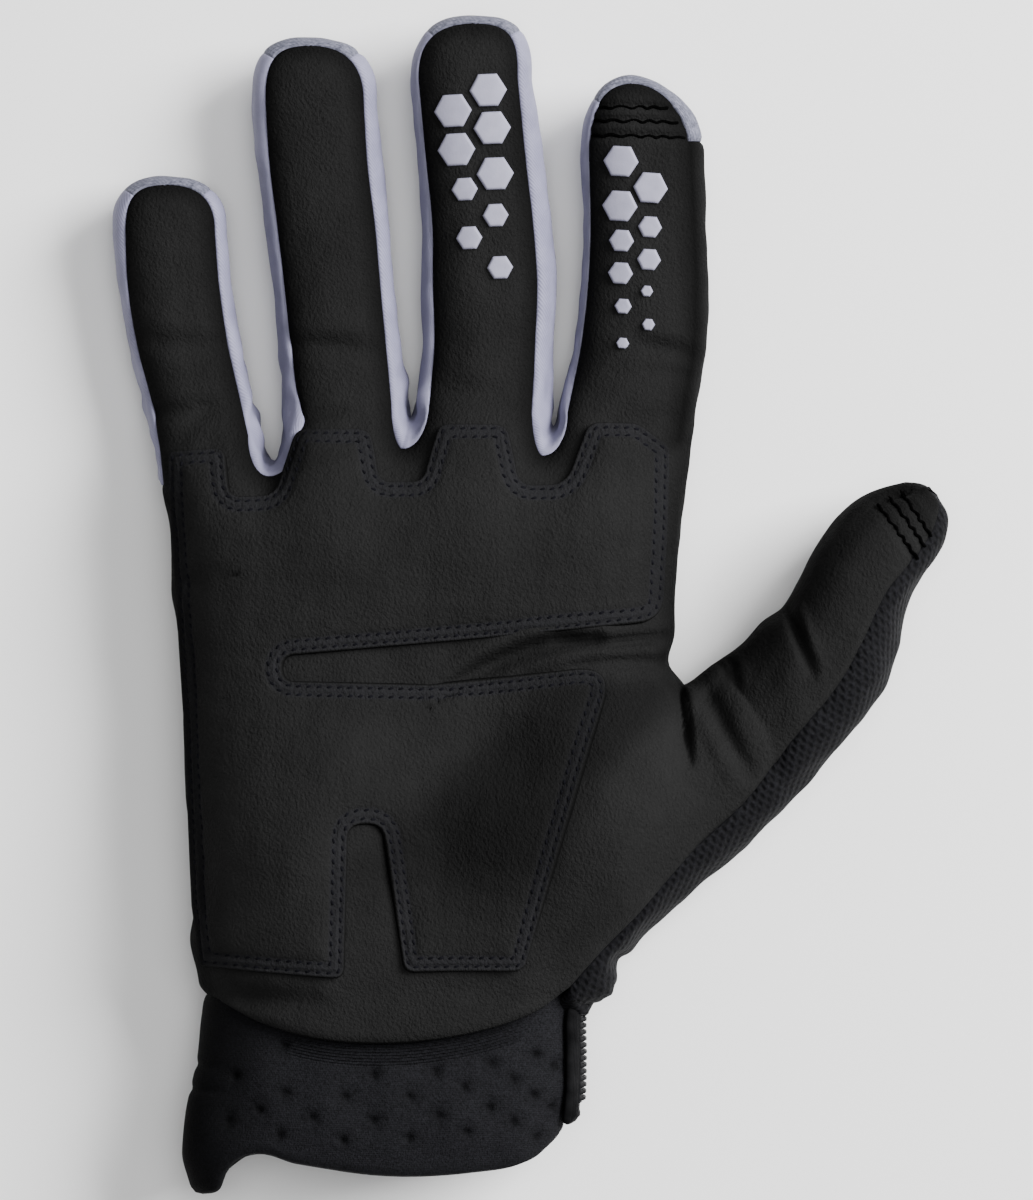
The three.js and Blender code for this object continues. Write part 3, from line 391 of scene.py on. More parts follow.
CUFF_CELLS = {"round": 300, "down": 84}
SEWN_ROW_PITCH = 0.62

# Puckered holes in the cuff
HOLES = table(
    "x y",
    (-58.6, -93.7), (-48.6, -87.5), (-31.0, -93.1), (-18.8, -92.5), (-7.6, -91.1), (1.2, -89.5),
    (4.8, -91.9), (-48.8, -96.9), (-36.6, -97.5), (-23.8, -97.5), (-13.0, -95.7), (-3.2, -94.5),
    (-53.8, -100.1), (-43.2, -101.7), (-31.0, -102.3), (-18.2, -101.3), (-8.0, -99.7), (0.8, -97.5),
    (4.6, -100.1), (-59.8, -102.5), (-49.6, -105.3), (-37.0, -106.3), (-23.8, -105.9), (-12.6, -104.5),
    (-3.2, -102.9), (1.4, -105.9),
)

# Mesh at the wrist by the strap: the knot that its gathers run round, its bulge and the pinch
# above it, and how far its hem reaches down at three places of its section
WRIST_KNOT = (9.5, -80.5)
WRIST_BULGE = {"place": (15.0, -77.4), "size": 4.2, "height": 2.6}
WRIST_PINCH = {"place": (18.2, -71.6), "size": 1.9, "height": 1.5}
HEM = {"seam": (-3.6, -4.0, -7.0), "outline": (0.7, -2.0, 0.0), "back": (-1.7, -3.8, 2.0)}

# Closure strap round the thumb side and the back of the cuff, and its ribbed cover
STRAP = {"top": -80.6, "bottom": -102.9, "start": 16, "end": -150, "clear": 0.5, "wall": 2.2}
RIBS = {"top": -81.0, "pitch": 1.3, "count": 14, "start": 9, "end": -36, "base": 0.35, "tall": 0.75}

# Creases of the suede: three points of a bend, width, depth and the ridge on its left side
CREASES = table(
    "x0 y0 x1 y1 x2 y2 width depth ridge",
    (28.9, -10.0, 30.3, -20.0, 31.5, -31.0, 1.1, 5.6, 0.0),
    (43.4, -34.0, 38.6, -25.0, 34.6, -16.0, 1.7, 1.7, 0.8),
    (40.0, -11.6, 41.6, -14.0, 41.0, -17.0, 0.9, 1.0, 0.3),
    (50.4, 2.8, 52.4, -4.6, 55.8, -13.4, 1.1, 2.7, 0.6),
    (-16.4, -17.6, -2.6, -7.6, 12.4, -7.0, 1.7, 3.8, 1.7),
    (5.6, -7.2, 16.0, -8.3, 29.0, -6.6, 1.1, 2.9, 1.1),
    (-4.0, -13.6, 9.0, -8.8, 25.0, -9.0, 1.5, -1.3, 0.0),
    (8.6, -12.4, 19.0, -10.4, 33.0, -13.0, 1.4, 1.8, 0.2),
    (10.0, 99.2, 21.0, 99.4, 31.0, 98.6, 0.8, 1.1, 0.0),
    (9.0, 96.5, 21.0, 96.7, 33.0, 95.8, 0.8, 1.2, 0.0),
    (8.5, 93.6, 21.0, 93.6, 34.0, 92.8, 0.8, 1.2, 0.0),
    (73.4, 22.6, 77.4, 17.0, 80.6, 11.6, 0.8, 0.9, 0.0),
    (71.0, 21.8, 75.4, 15.6, 79.6, 9.2, 0.8, 1.0, 0.0),
    (68.2, 20.8, 73.0, 14.0, 78.0, 6.6, 0.8, 1.0, 0.0),
    (21.5, 51.2, 28.0, 51.0, 36.0, 47.6, 1.8, 1.3, 0.5),
    (24.0, 46.6, 30.0, 46.6, 36.0, 43.6, 1.7, 0.7, 0.3),
    (10.0, 33.4, 20.0, 37.0, 32.0, 36.4, 2.8, 0.8, 0.3),
    (-49.6, 50.8, -41.0, 52.4, -31.0, 50.0, 2.0, 1.3, 0.5),
    (-47.4, 35.4, -43.0, 37.6, -37.6, 38.8, 0.9, 1.2, 0.3),
    (-22.0, 42.6, -9.0, 40.0, 3.6, 43.0, 2.8, 0.9, 0.4),
    (-80.0, 53.0, -69.0, 50.4, -58.0, 52.0, 2.2, 0.8, 0.4),
    (-78.0, 38.6, -69.0, 36.6, -60.0, 40.0, 2.0, 1.3, 0.5),
    (-74.0, 31.0, -68.0, 34.0, -64.0, 38.0, 1.8, 0.6, 0.3),
    (58.0, -24.0, 54.0, -16.0, 55.0, -8.0, 2.6, 0.5, 0.2),
    (40.0, -40.0, 33.0, -46.0, 30.0, -54.0, 3.6, 0.5, 0.2),
    (-66.6, -67.0, -62.0, -70.0, -57.0, -71.0, 1.5, 0.6, 0.2),
    (-67.0, -75.6, -57.0, -79.2, -44.0, -78.4, 2.2, 2.0, 0.8),
    (-28.0, -76.4, -10.0, -77.6, 4.0, -72.0, 3.0, 0.5, 0.2),
    (-73.6, 4.6, -69.0, 3.0, -62.0, 5.0, 2.2, 0.9, 0.5),
)


# Small helpers
def smooth(t):
    """Smooth step from 0 to 1."""
    s = np.clip(t, 0, 1)
    return s * s * (3 - 2 * s)


def mix(a, b, t):
    """Straight mix from a to b."""
    return a + (b - a) * t


def power(value, exponent):
    """Power of a size that keeps its sign."""
    return np.sign(value) * np.abs(value) ** exponent


def hump(distance, width):
    """Bell of height 1 at no distance."""
    return np.exp(-((distance / width) ** 2))


def stack(*parts):
    """Points from their coordinates."""
    return np.stack(np.broadcast_arrays(*parts), axis=-1).astype(float)


def from_place(points, place):
    """Distance of points to a place in plan."""
    return np.hypot(points[:, 0] - place[0], points[:, 1] - place[1])


def at(rows, key, place, column):
    """Cubic curve through the rows of a table, with the slope of each row's neighbours, flat
    beyond the ends."""
    x, v = rows[key], rows[column]
    slope = np.empty_like(v)
    slope[1:-1] = (v[2:] - v[:-2]) / (x[2:] - x[:-2])
    slope[0] = (v[1] - v[0]) / (x[1] - x[0])
    slope[-1] = (v[-1] - v[-2]) / (x[-1] - x[-2])
    t = np.clip(place, x[0], x[-1])
    i = np.clip(np.searchsorted(x, t) - 1, 0, len(x) - 2)
    width = x[i + 1] - x[i]
    s = (t - x[i]) / width
    ends = v[i] * (1 + 2 * s) * (1 - s) ** 2 + v[i + 1] * s * s * (3 - 2 * s)
    return ends + width * s * (1 - s) * (slope[i] * (1 - s) - slope[i + 1] * s)


def swell(across, along, exponent):
    """Section of a round form: 1 in its middle and 0 on its outline, root of 1 less both powers."""
    return np.sqrt(np.maximum(0, 1 - np.abs(across) ** exponent - np.abs(along) ** exponent))


def ripple(points, size, seed):
    """Soft random waves of about the given size: mean of sines in eight fixed random directions."""
    rng = np.random.default_rng(seed)
    ways = rng.normal(size=(8, 3))
    ways /= np.linalg.norm(ways, axis=1, keepdims=True)
    turns = rng.uniform(0, 2 * np.pi, 8)
    pace = 2 * np.pi / (size * rng.uniform(0.7, 1.5, 8))
    return np.sin((points @ ways.T) * pace + turns).sum(axis=-1) / 2.4


# The hand's surfaces
def relief(x, y):
    """Mounds and hollows: a sum of bells over the palm."""
    total = np.zeros(np.broadcast(x, y).shape)
    for i, height in enumerate(RELIEF["height"]):
        dx = (x - RELIEF["x"][i]) / RELIEF["rx"][i]
        dy = (y - RELIEF["y"][i]) / RELIEF["ry"][i]
        total = total + height * np.exp(-dx * dx - dy * dy)
    return total


def creases(x, y):
    """Folds of the suede: along each bend of the table a valley, and a ridge beside it, both
    fading at its ends."""
    total = np.zeros(np.broadcast(x, y).shape)
    t = np.linspace(0, 1, 40)
    for x0, y0, x1, y1, x2, y2, width, depth, ridge in zip(*CREASES.values()):
        bend_x = x0 * (1 - t) ** 2 + 2 * x1 * t * (1 - t) + x2 * t * t
        bend_y = y0 * (1 - t) ** 2 + 2 * y1 * t * (1 - t) + y2 * t * t
        reach = 4 * width + 4
        near = (x > bend_x.min() - reach) & (x < bend_x.max() + reach)
        near &= (y > bend_y.min() - reach) & (y < bend_y.max() + reach)
        if not near.any():
            continue
        dx = x[near][:, None] - bend_x
        dy = y[near][:, None] - bend_y
        gap = np.hypot(dx, dy)
        best = gap.argmin(axis=1)
        rows = np.arange(len(best))
        way_x, way_y = np.gradient(bend_x)[best], np.gradient(bend_y)[best]
        side = np.sign(way_x * dy[rows, best] - way_y * dx[rows, best])
        distance = gap[rows, best]
        fade = np.sin(np.pi * mix(0.08, 0.92, t[best])) ** 0.8
        fold = -depth * hump(distance, width) + ridge * hump(side * distance - 1.9 * width, width)
        total[near] += fold * fade
    return total


def across_hand(x, y):
    """Place across the hand: -1 on its left outline and 1 on its right one."""
    left = at(HAND, "y", y, "left")
    right = at(HAND, "y", y, "right")
    return np.clip((2 * x - left - right) / (right - left), -1, 1)


def palm_height(x, y):
    """Palm side of the hand: a flat superellipse section over its outline, with mounds and hollows."""
    full = swell(across_hand(x, y), 0, PALM_POWER)
    rise = at(HAND, "y", y, "top") - SIDE_HEIGHT
    return SIDE_HEIGHT + rise * full + relief(x, y) * np.minimum(1, full * 1.5)


def back_height(x, y):
    """Back of the hand: a flatter superellipse section, flattened where the glove lies on it."""
    full = swell(across_hand(x, y), 0, BACK_POWER)
    return np.maximum(0, SIDE_HEIGHT * (1 - full) - FLATTENING)


def fork_of(index, side):
    """Number of the fork on a side of a finger, or None on the outer side of the hand."""
    fork = index - 1 if side < 0 else index
    return fork if 0 <= fork < 3 else None


def finger_edge(index, side, along, inset):
    """Outline (inset 0) or seam (1) of a finger in plan: a quarter arc round the fork, the
    stations up to the shoulder, and a superellipse round the tip. Along runs 0 to 1, 2 and 3."""
    finger = FINGERS[index]
    fork = fork_of(index, side)
    outline, seam = ("left", "seam_left") if side < 0 else ("right", "seam_right")
    stations = finger["stations"]

    def edge(y):
        return at(stations, "y", y, outline) - side * inset * at(stations, "y", y, seam)

    base = OUTER_BASE[outline] if fork is None else FORKS["seam_y"][fork]
    straight = base + (OUTER_RISE if fork is None else FORKS["rise"][fork])
    shoulder = finger["shoulder"]
    y = np.where(along < 1, mix(base, straight, along), mix(straight, shoulder, along - 1))
    y = np.minimum(y, shoulder)
    x = edge(y)
    if fork is not None:
        turn = (1 - np.clip(along, 0, 1)) * np.pi / 2
        bottom_x = mix(FORKS["x"][fork], FORKS["seam_x"][fork], inset)
        bottom_y = mix(FORKS["y"][fork], FORKS["seam_y"][fork], inset)
        x = np.where(along < 1, mix(edge(straight), bottom_x, 1 - np.cos(turn)), x)
        y = np.where(along < 1, mix(straight, bottom_y, np.sin(turn)), y)
    turn = np.clip(along - 2, 0, 1) * np.pi / 2
    middle = (at(stations, "y", shoulder, "left") + at(stations, "y", shoulder, "right")) / 2
    half = np.abs(edge(shoulder) - middle)
    reach = finger["tip"] - shoulder - inset * finger["tip_seam"]
    climb = power(np.sin(turn), finger["tip_power"])
    tip_x = middle + side * half * np.maximum(np.cos(turn), 0) ** finger["tip_power"]
    tip_x = tip_x + finger["tip_shift"] * climb**2
    x = np.where(along > 2, tip_x, x)
    y = np.where(along > 2, shoulder + reach * climb, y)
    return x, y


def finger_body(finger, y):
    """Middle height and thickness of a finger: it thins and rises towards its tip."""
    share = np.clip((y - 30) / (finger["tip"] - 30), 0, 1)
    thick = mix(finger["thick"], finger["tip_thick"], share)
    return finger["lift"] * share**2 + thick / 2, thick


def knuckle_blend(index, y):
    """Share of a finger's own form: 0 on the hand and 1 beyond the knuckle."""
    fork_left, fork_right = fork_of(index, -1), fork_of(index, 1)
    left = OUTER_BASE["left"] if fork_left is None else FORKS["seam_y"][fork_left]
    right = OUTER_BASE["right"] if fork_right is None else FORKS["seam_y"][fork_right]
    return smooth((y - (left + right) / 2) / KNUCKLE_BLEND)


def finger_height(index, face, x, y):
    """Palm side (face 1) or back (-1) of a finger: its superellipse section, blended into the hand."""
    finger = FINGERS[index]
    mid, thick = finger_body(finger, y)
    climb = np.maximum(0, y - finger["shoulder"]) / (finger["tip"] - finger["shoulder"])
    shift = finger["tip_shift"] * climb**2
    left = at(finger["stations"], "y", y, "left") + shift
    right = at(finger["stations"], "y", y, "right") + shift
    across = (2 * x - left - right) / (right - left)
    own = mid + face * thick * swell(across, climb, FINGER_POWER) / 2
    hand = palm_height(x, y) if face > 0 else back_height(x, y)
    return mix(hand, own, knuckle_blend(index, y))


def finger_rows():
    """Places along a finger, from its fork to its tip."""
    crotch = np.linspace(0, 1, CROTCH_CELLS, endpoint=False)
    shaft = np.linspace(1, 2, SHAFT_CELLS, endpoint=False)
    return np.concatenate([crotch, shaft, np.linspace(2, 3, TIP_CELLS + 1)])


def finger_face(index, face):
    """Palm side or back of a finger between its two seams: rows that leave the forks level and
    are straight farther up."""
    along = finger_rows()
    a = stack(*finger_edge(index, -1, along, 1))
    b = stack(*finger_edge(index, 1, along, 1))
    u = np.linspace(0, 1, FINGER_CELLS + 1)
    level = np.clip(1 - along, 0, 1)[:, None]
    x = mix(a[:, :1], b[:, :1], u)
    y = mix(a[:, 1:], b[:, 1:], mix(u, smooth(u), level))
    return stack(x, y, finger_height(index, face, x, y))


def finger_sections(index, side, along):
    """Seam on the palm side, outline and seam on the back, at places along a finger."""
    seam_x, seam_y = finger_edge(index, side, along, 1)
    x, y = finger_edge(index, side, along, 0)
    height = mix(SIDE_HEIGHT, finger_body(FINGERS[index], y)[0], knuckle_blend(index, y))
    front = stack(seam_x, seam_y, finger_height(index, 1, seam_x, seam_y))
    back = stack(seam_x, seam_y, finger_height(index, -1, seam_x, seam_y))
    return front, stack(x, y, height), back


def side_path(points, inset, inwards, span):
    """A path in plan moved inwards, square to the line between its neighbours a span away."""
    count = np.arange(len(points))
    before = points[np.maximum(0, count - span)]
    after = points[np.minimum(len(points) - 1, count + span)]
    way = after - before
    length = np.linalg.norm(way, axis=1)
    square = stack(way[:, 1], -way[:, 0]) / length[:, None]
    return points + inwards * np.reshape(inset, (-1, 1)) * square


def rung_value(column, rung):
    """Value of the thumb's table at a rung or between two."""
    return at(THUMB, "rung", rung, column)


PALM_ROWS = ROWS_ABOVE_THUMB + ROWS_BESIDE_THUMB


def even_rungs():
    """Places along the thumb, from rung 0 to the last, in equal steps of its outer outline."""
    rung = np.linspace(0, LAST_RUNG, 900)
    path = stack(rung_value("out_x", rung), rung_value("out_y", rung))
    length = np.concatenate([[0], np.cumsum(np.linalg.norm(np.diff(path, axis=0), axis=1))])
    return np.interp(np.linspace(0, length[-1], THUMB_CELLS + 1), length, rung)


RUNGS = even_rungs()


def left_outline():
    """Left outline of the hand from the little finger to the cuff."""
    y = np.linspace(OUTER_BASE["left"], HAND_LEFT_END, PALM_ROWS + 1)
    return stack(at(HAND, "y", y, "left"), y)


def right_outline():
    """Right outline: down the palm to the fork of the thumb, up the thumb's inner side and over
    its tip."""
    y = np.linspace(OUTER_BASE["right"], THUMB["in_y"][0], ROWS_ABOVE_THUMB + 1)
    side = stack(at(PALM_RIGHT, "y", y, "x"), y)
    inner = stack(rung_value("in_x", RUNGS[1:]), rung_value("in_y", RUNGS[1:]))
    share = np.linspace(0, 1, ROWS_BESIDE_THUMB + 1)[1:]
    start = np.array([THUMB["in_x"][-1], THUMB["in_y"][-1]])
    end = np.array([THUMB["out_x"][-1], THUMB["out_y"][-1]])
    way = (end - start) / np.linalg.norm(end - start)
    bulge = THUMB_TIP_BULGE * np.sin(np.pi * share)[:, None] * np.array([-way[1], way[0]])
    tip = mix(start, end, share[:, None]) + bulge
    return np.concatenate([side, inner, tip])


def hand_edges(face):
    """Edges of the hand's palm side or back in plan: left, right with the thumb's inner side, and
    thumb's outer. Over the thumb's tip the right edge eases to the end of the outer one."""
    count = np.arange(PALM_ROWS + 1)
    left_inset = mix(OUTER_SEAM_INSET, SIDE_INSET, smooth(count / OUTER_SEAM_ROWS))
    left = side_path(left_outline(), left_inset, -1, 12)
    right_points = right_outline()
    right = side_path(right_points, SIDE_INSET, 1, 8)
    left[0] = finger_edge(0, -1, 0.0, 1.0)
    right[0] = finger_edge(3, 1, 0.0, 1.0)
    if face > 0:
        outer = stack(rung_value("seam_x", RUNGS), rung_value("seam_y", RUNGS))
    else:
        a = stack(rung_value("out_x", RUNGS), rung_value("out_y", RUNGS))
        b = stack(rung_value("in_x", RUNGS), rung_value("in_y", RUNGS))
        outer = mix(a, b, SIDE_INSET / np.linalg.norm(b - a, axis=1)[:, None])
    ease = smooth(np.linspace(0, 1, ROWS_BESIDE_THUMB + 1))[1:, None]
    right[-ROWS_BESIDE_THUMB:] += ease * (outer[-1] - right[-1])
    return left, right, outer


def thumb_height(rung, face, x, y):
    """Palm side or back of the thumb: the superellipse section of its rung, blended into the hand."""
    in_x, in_y = rung_value("in_x", rung), rung_value("in_y", rung)
    dx = rung_value("out_x", rung) - in_x
    dy = rung_value("out_y", rung) - in_y
    share = ((x - in_x) * dx + (y - in_y) * dy) / (dx * dx + dy * dy)
    across = np.clip(2 * share - 1, -1, 1)
    round_form = swell(across, rung_value("closing", rung), FINGER_POWER)
    own = rung_value("mid", rung) + face * rung_value("thick", rung) * round_form / 2
    hand = palm_height(x, y) if face > 0 else back_height(x, y)
    return mix(hand, own, smooth(rung / THUMB_BLEND_RUNGS))


def hand_face(face):
    """Palm or back of the hand between its side seams: straight rows that bend to the forks above
    and to the heel below."""
    left, right, outer = hand_edges(face)
    tops = [finger_face(k, face)[0] for k in range(4)]
    top = np.concatenate([tops[0]] + [row[1:] for row in tops[1:]])
    u = (top[:, 0] - top[0, 0]) / (top[-1, 0] - top[0, 0])
    count = np.arange(PALM_ROWS + 1)
    share = np.clip((count - ROWS_ABOVE_THUMB) / ROWS_BESIDE_THUMB, 0, 1)[:, None]
    beside = mix(right[ROWS_ABOVE_THUMB], outer[0], share)
    b = np.where((count <= ROWS_ABOVE_THUMB)[:, None], right[: PALM_ROWS + 1], beside)
    down = (count / PALM_ROWS)[:, None]
    x = mix(left[:, :1], b[:, :1], u)
    top_bend = top[:, 1] - mix(top[0, 1], top[-1, 1], u)
    heel_x = mix(left[-1, 0], outer[0, 0], u)
    heel_line = mix(left[-1, 1], outer[0, 1], u)
    if face > 0:
        heel_bend = at(HEEL, "x", heel_x, "y") - heel_line
    else:
        heel_bend = BACK_HEEL_BEND * np.sin(np.pi * u)
    y = mix(left[:, 1:], b[:, 1:], u) + top_bend * (1 - down) ** 2 + heel_bend * down**2
    rows = stack(x, y, palm_height(x, y) if face > 0 else back_height(x, y))
    rows[0] = top
    return rows


def thumb_face(face, hand):
    """Palm side or back of the thumb, a row for each rung from the hand's right edge to the tip."""
    _, right, outer = hand_edges(face)
    first = hand[ROWS_ABOVE_THUMB:, -1]
    u = np.linspace(0, 1, ROWS_BESIDE_THUMB + 1)[None, :, None]
    inner = right[ROWS_ABOVE_THUMB : ROWS_ABOVE_THUMB + len(RUNGS)]
    plan = mix(inner[:, None], outer[:, None], u)
    plan[-1] = right[ROWS_ABOVE_THUMB + len(RUNGS) - 1 :]
    x, y = plan[..., 0], plan[..., 1]
    rows = stack(x, y, thumb_height(RUNGS[:, None], face, x, y))
    rows[0] = first
    return rows


def strip(front, outline, back, front_gap=0.0, back_gap=0.0):
    """Side strip: each section is an arc of 150 degrees from its front seam over its outline to
    its back seam. A free edge stops short of the seam by the gap."""
    middle = (front + back) / 2
    half = (front - back) / 2
    bulge = outline - middle
    length = np.sum(half * half, axis=1, keepdims=True)
    bulge = bulge - half * np.sum(bulge * half, axis=1, keepdims=True) / length
    reach = np.sqrt(length) + SECTION_REACH * np.linalg.norm(bulge, axis=1, keepdims=True)
    start, end = 1 - front_gap / reach, -1 + back_gap / reach
    angle = (PROFILE_HALF_ANGLE * mix(start, end, np.linspace(0, 1, PROFILE_CELLS + 1)))[..., None]
    edge = np.cos(PROFILE_HALF_ANGLE)
    rise = np.sin(angle) / np.sin(PROFILE_HALF_ANGLE)
    out = (np.cos(angle) - edge) / (1 - edge)
    return middle[:, None] + half[:, None] * rise + bulge[:, None] * out


def plain_skin(x, y):
    """Height of the palm side without its creases: the finger or hand there, and the rounded side
    strip near the left outline."""
    index = np.searchsorted(FORKS["seam_x"], x)
    height = np.select([index == k for k in range(4)], [finger_height(k, 1, x, y) for k in range(4)])
    left = at(HAND, "y", y, "left")
    inset = mix(OUTER_SEAM_INSET, SIDE_INSET, smooth((OUTER_BASE["left"] - y) / OUTER_SEAM_TAPER))
    front = palm_height(left + inset, y)
    back = back_height(left + inset, y)
    edge = np.cos(PROFILE_HALF_ANGLE)
    turned = np.clip(edge + (1 - edge) * (left + inset - x) / inset, -1, 1)
    rise = np.sqrt(1 - turned**2) / np.sin(PROFILE_HALF_ANGLE)
    side = (front + back) / 2 + (front - back) / 2 * rise
    on_side = (x < left + inset) & (y < OUTER_BASE["left"])
    return np.where(on_side, side, height)


def skin(x, y):
    """Height of the palm side under the grips and the threads."""
    return plain_skin(x, y) + creases(x, y)


def skin_normal(x, y, surface=skin):
    """Upward normal of the palm side from the slopes of its height."""
    step = 0.2
    dx = (surface(x + step, y) - surface(x - step, y)) / (2 * step)
    dy = (surface(x, y + step) - surface(x, y - step)) / (2 * step)
    normal = stack(-dx, -dy, np.ones_like(dx))
    return normal / np.linalg.norm(normal, axis=-1, keepdims=True)


# Meshes
def distance_to(points, others):
    """Distance from each point to the nearest of the others, in blocks."""
    nearest = np.empty(len(points))
    b = others.astype(np.float32)
    for start in range(0, len(points), BLOCK):
        a = points[start : start + BLOCK].astype(np.float32)
        gaps = (a * a).sum(1)[:, None] + (b * b).sum(1) - 2 * a @ b.T
        nearest[start : start + BLOCK] = np.sqrt(np.maximum(gaps.min(axis=1), 0))
    return nearest


class Sheet:
    """A skin of four-sided cells whose equal points are shared. Every corner keeps its place on
    the cloth in millimetres, for the weave."""

    def __init__(self):
        self.grids = []

    def add(self, rows, flip=False):
        """Adds a grid of points. Its faces look towards rows x columns, or the other way."""
        self.grids.append(rows[:, ::-1] if flip else rows)
        return self

    def merged(self):
        """Points, faces of four corners and the cloth places of the corners."""
        points, faces, places = [], [], []
        offset = 0
        for rows in self.grids:
            n, m = rows.shape[:2]
            ids = offset + np.arange(n * m).reshape(n, m)
            steps = np.linalg.norm(np.diff(rows, axis=0), axis=2)
            down = np.concatenate([np.zeros((1, m)), np.cumsum(steps, axis=0)])
            steps = np.linalg.norm(np.diff(rows, axis=1), axis=2)
            across = np.concatenate([np.zeros((n, 1)), np.cumsum(steps, axis=1)], axis=1)
            across -= across[:, m // 2][:, None]
            place = stack(across, down)
            quad = [(slice(None, -1), slice(None, -1)), (slice(1, None), slice(None, -1))]
            quad += [(slice(1, None), slice(1, None)), (slice(None, -1), slice(1, None))]
            faces.append(np.stack([ids[q] for q in quad], axis=-1).reshape(-1, 4))
            places.append(np.stack([place[q] for q in quad], axis=-2).reshape(-1, 4, 2))
            points.append(rows.reshape(-1, 3))
            offset += n * m
        points, faces, places = (np.concatenate(part) for part in (points, faces, places))
        keys = np.round(points * 200).astype(np.int64)
        _, first, same = np.unique(keys, axis=0, return_index=True, return_inverse=True)
        faces = same.reshape(-1)[faces]
        doubled = (faces[:, 0] == faces[:, 2]) | (faces[:, 1] == faces[:, 3])
        level = (faces[:, 0] == faces[:, 1]) & (faces[:, 2] == faces[:, 3])
        upright = (faces[:, 1] == faces[:, 2]) & (faces[:, 3] == faces[:, 0])
        keep = ~(doubled | level | upright)
        return points[first], faces[keep], places[keep]


def face_normals(points, faces):
    """Normal of each face times its area, from its diagonals."""
    a, b, c, d = (points[faces[:, k]] for k in range(4))
    return np.cross(c - a, d - b) / 2


def point_normals(points, faces):
    """Unit normal of each point: the mean of its faces'."""
    normals = np.zeros_like(points)
    flat = face_normals(points, faces)
    for k in range(4):
        np.add.at(normals, faces[:, k], flat)
    length = np.linalg.norm(normals, axis=1, keepdims=True)
    return normals / np.maximum(length, 1e-9)


def open_edges(faces):
    """Edges with one face only, in that face's direction, and the face of each."""
    starts, ends = faces.reshape(-1), np.roll(faces, -1, axis=1).reshape(-1)
    owners = np.repeat(np.arange(len(faces)), 4)
    real = starts != ends
    starts, ends, owners = starts[real], ends[real], owners[real]
    size = faces.max() + 1
    there, back = starts * size + ends, ends * size + starts
    alone = ~np.isin(there, back)
    return starts[alone], ends[alone], owners[alone]


def relaxed(points, faces, joins, reach=4.0, rounds=14):
    """Points eased near the lines where grids meet, but not at open edges: each round moves them
    towards the mean of their neighbours and partly back, so that the form keeps its size."""
    starts, ends, _ = open_edges(faces)
    free = smooth(distance_to(points, points[np.unique(np.concatenate([starts, ends]))]) / 3)
    share = (hump(distance_to(points, joins), reach) * free)[:, None]
    count = np.zeros(len(points))
    for k in range(4):
        np.add.at(count, faces[:, k], 2)
    for step in np.tile([0.6, -0.5], rounds):
        total = np.zeros_like(points)
        for k in range(4):
            np.add.at(total, faces[:, k], points[faces[:, k - 1]] + points[faces[:, (k + 1) % 4]])
        points = points + step * share * (total / count[:, None] - points)
    return points


def body(sheet, wall, shape=None, seam=(0.0, 1.0), roll=0.3, joins=None, sink=None):
    """Closed body of a skin: the outer side, pressed in along its open edges as a sewn seam that
    lies flat at the thumb's tip, an inner side one wall lower, and a rolled rim between them.
    Shape moves the outer points along their normals by a function of place and of distance to
    the edge, and sink moves both sides upwards by a function of place."""
    points, faces, places = sheet.merged()
    if joins is not None:
        points = relaxed(points, faces, joins)
    normals = point_normals(points, faces)
    starts, ends, owners = open_edges(faces)
    rim = np.unique(np.concatenate([starts, ends]))
    distance = distance_to(points, points[rim]) if len(rim) else np.full(len(points), 1e3)
    unpressed = hump(from_place(points, THUMB_TIP), TIP_UNPRESSED)
    lift = -seam[0] * hump(distance, seam[1]) * (1 - unpressed)
    if shape is not None:
        lift = lift + shape(points, distance)
    outer = points + normals * lift[:, None]
    inner = points - normals * wall
    if sink is not None:
        fall = sink(points)
        outer[:, 2] += fall
        inner[:, 2] += fall
    centres = points[faces].mean(axis=1)
    way = np.zeros_like(points)
    np.add.at(way, starts, points[starts] - centres[owners])
    np.add.at(way, ends, points[ends] - centres[owners])
    way -= normals * np.sum(way * normals, axis=1, keepdims=True)
    way /= np.maximum(np.linalg.norm(way, axis=1, keepdims=True), 1e-9)
    rims = (outer[rim] + inner[rim]) / 2 + way[rim] * roll * wall
    order = np.zeros(len(points), dtype=int)
    order[rim] = np.arange(len(rim))
    n = len(points)
    mids, mid_ends = 2 * n + order[starts], 2 * n + order[ends]
    upper = np.stack([ends, starts, mids, mid_ends], axis=1)
    lower = np.stack([mid_ends, mids, starts + n, ends + n], axis=1)
    edge_places = places[owners][:, :1].repeat(4, axis=1)
    all_faces = np.concatenate([faces, faces[:, ::-1] + n, upper, lower])
    all_places = np.concatenate([places, places[:, ::-1], edge_places, edge_places])
    shell = np.concatenate([outer, inner, rims])
    shell[:, 2] = np.maximum(shell[:, 2], 0)
    return shell, all_faces, all_places


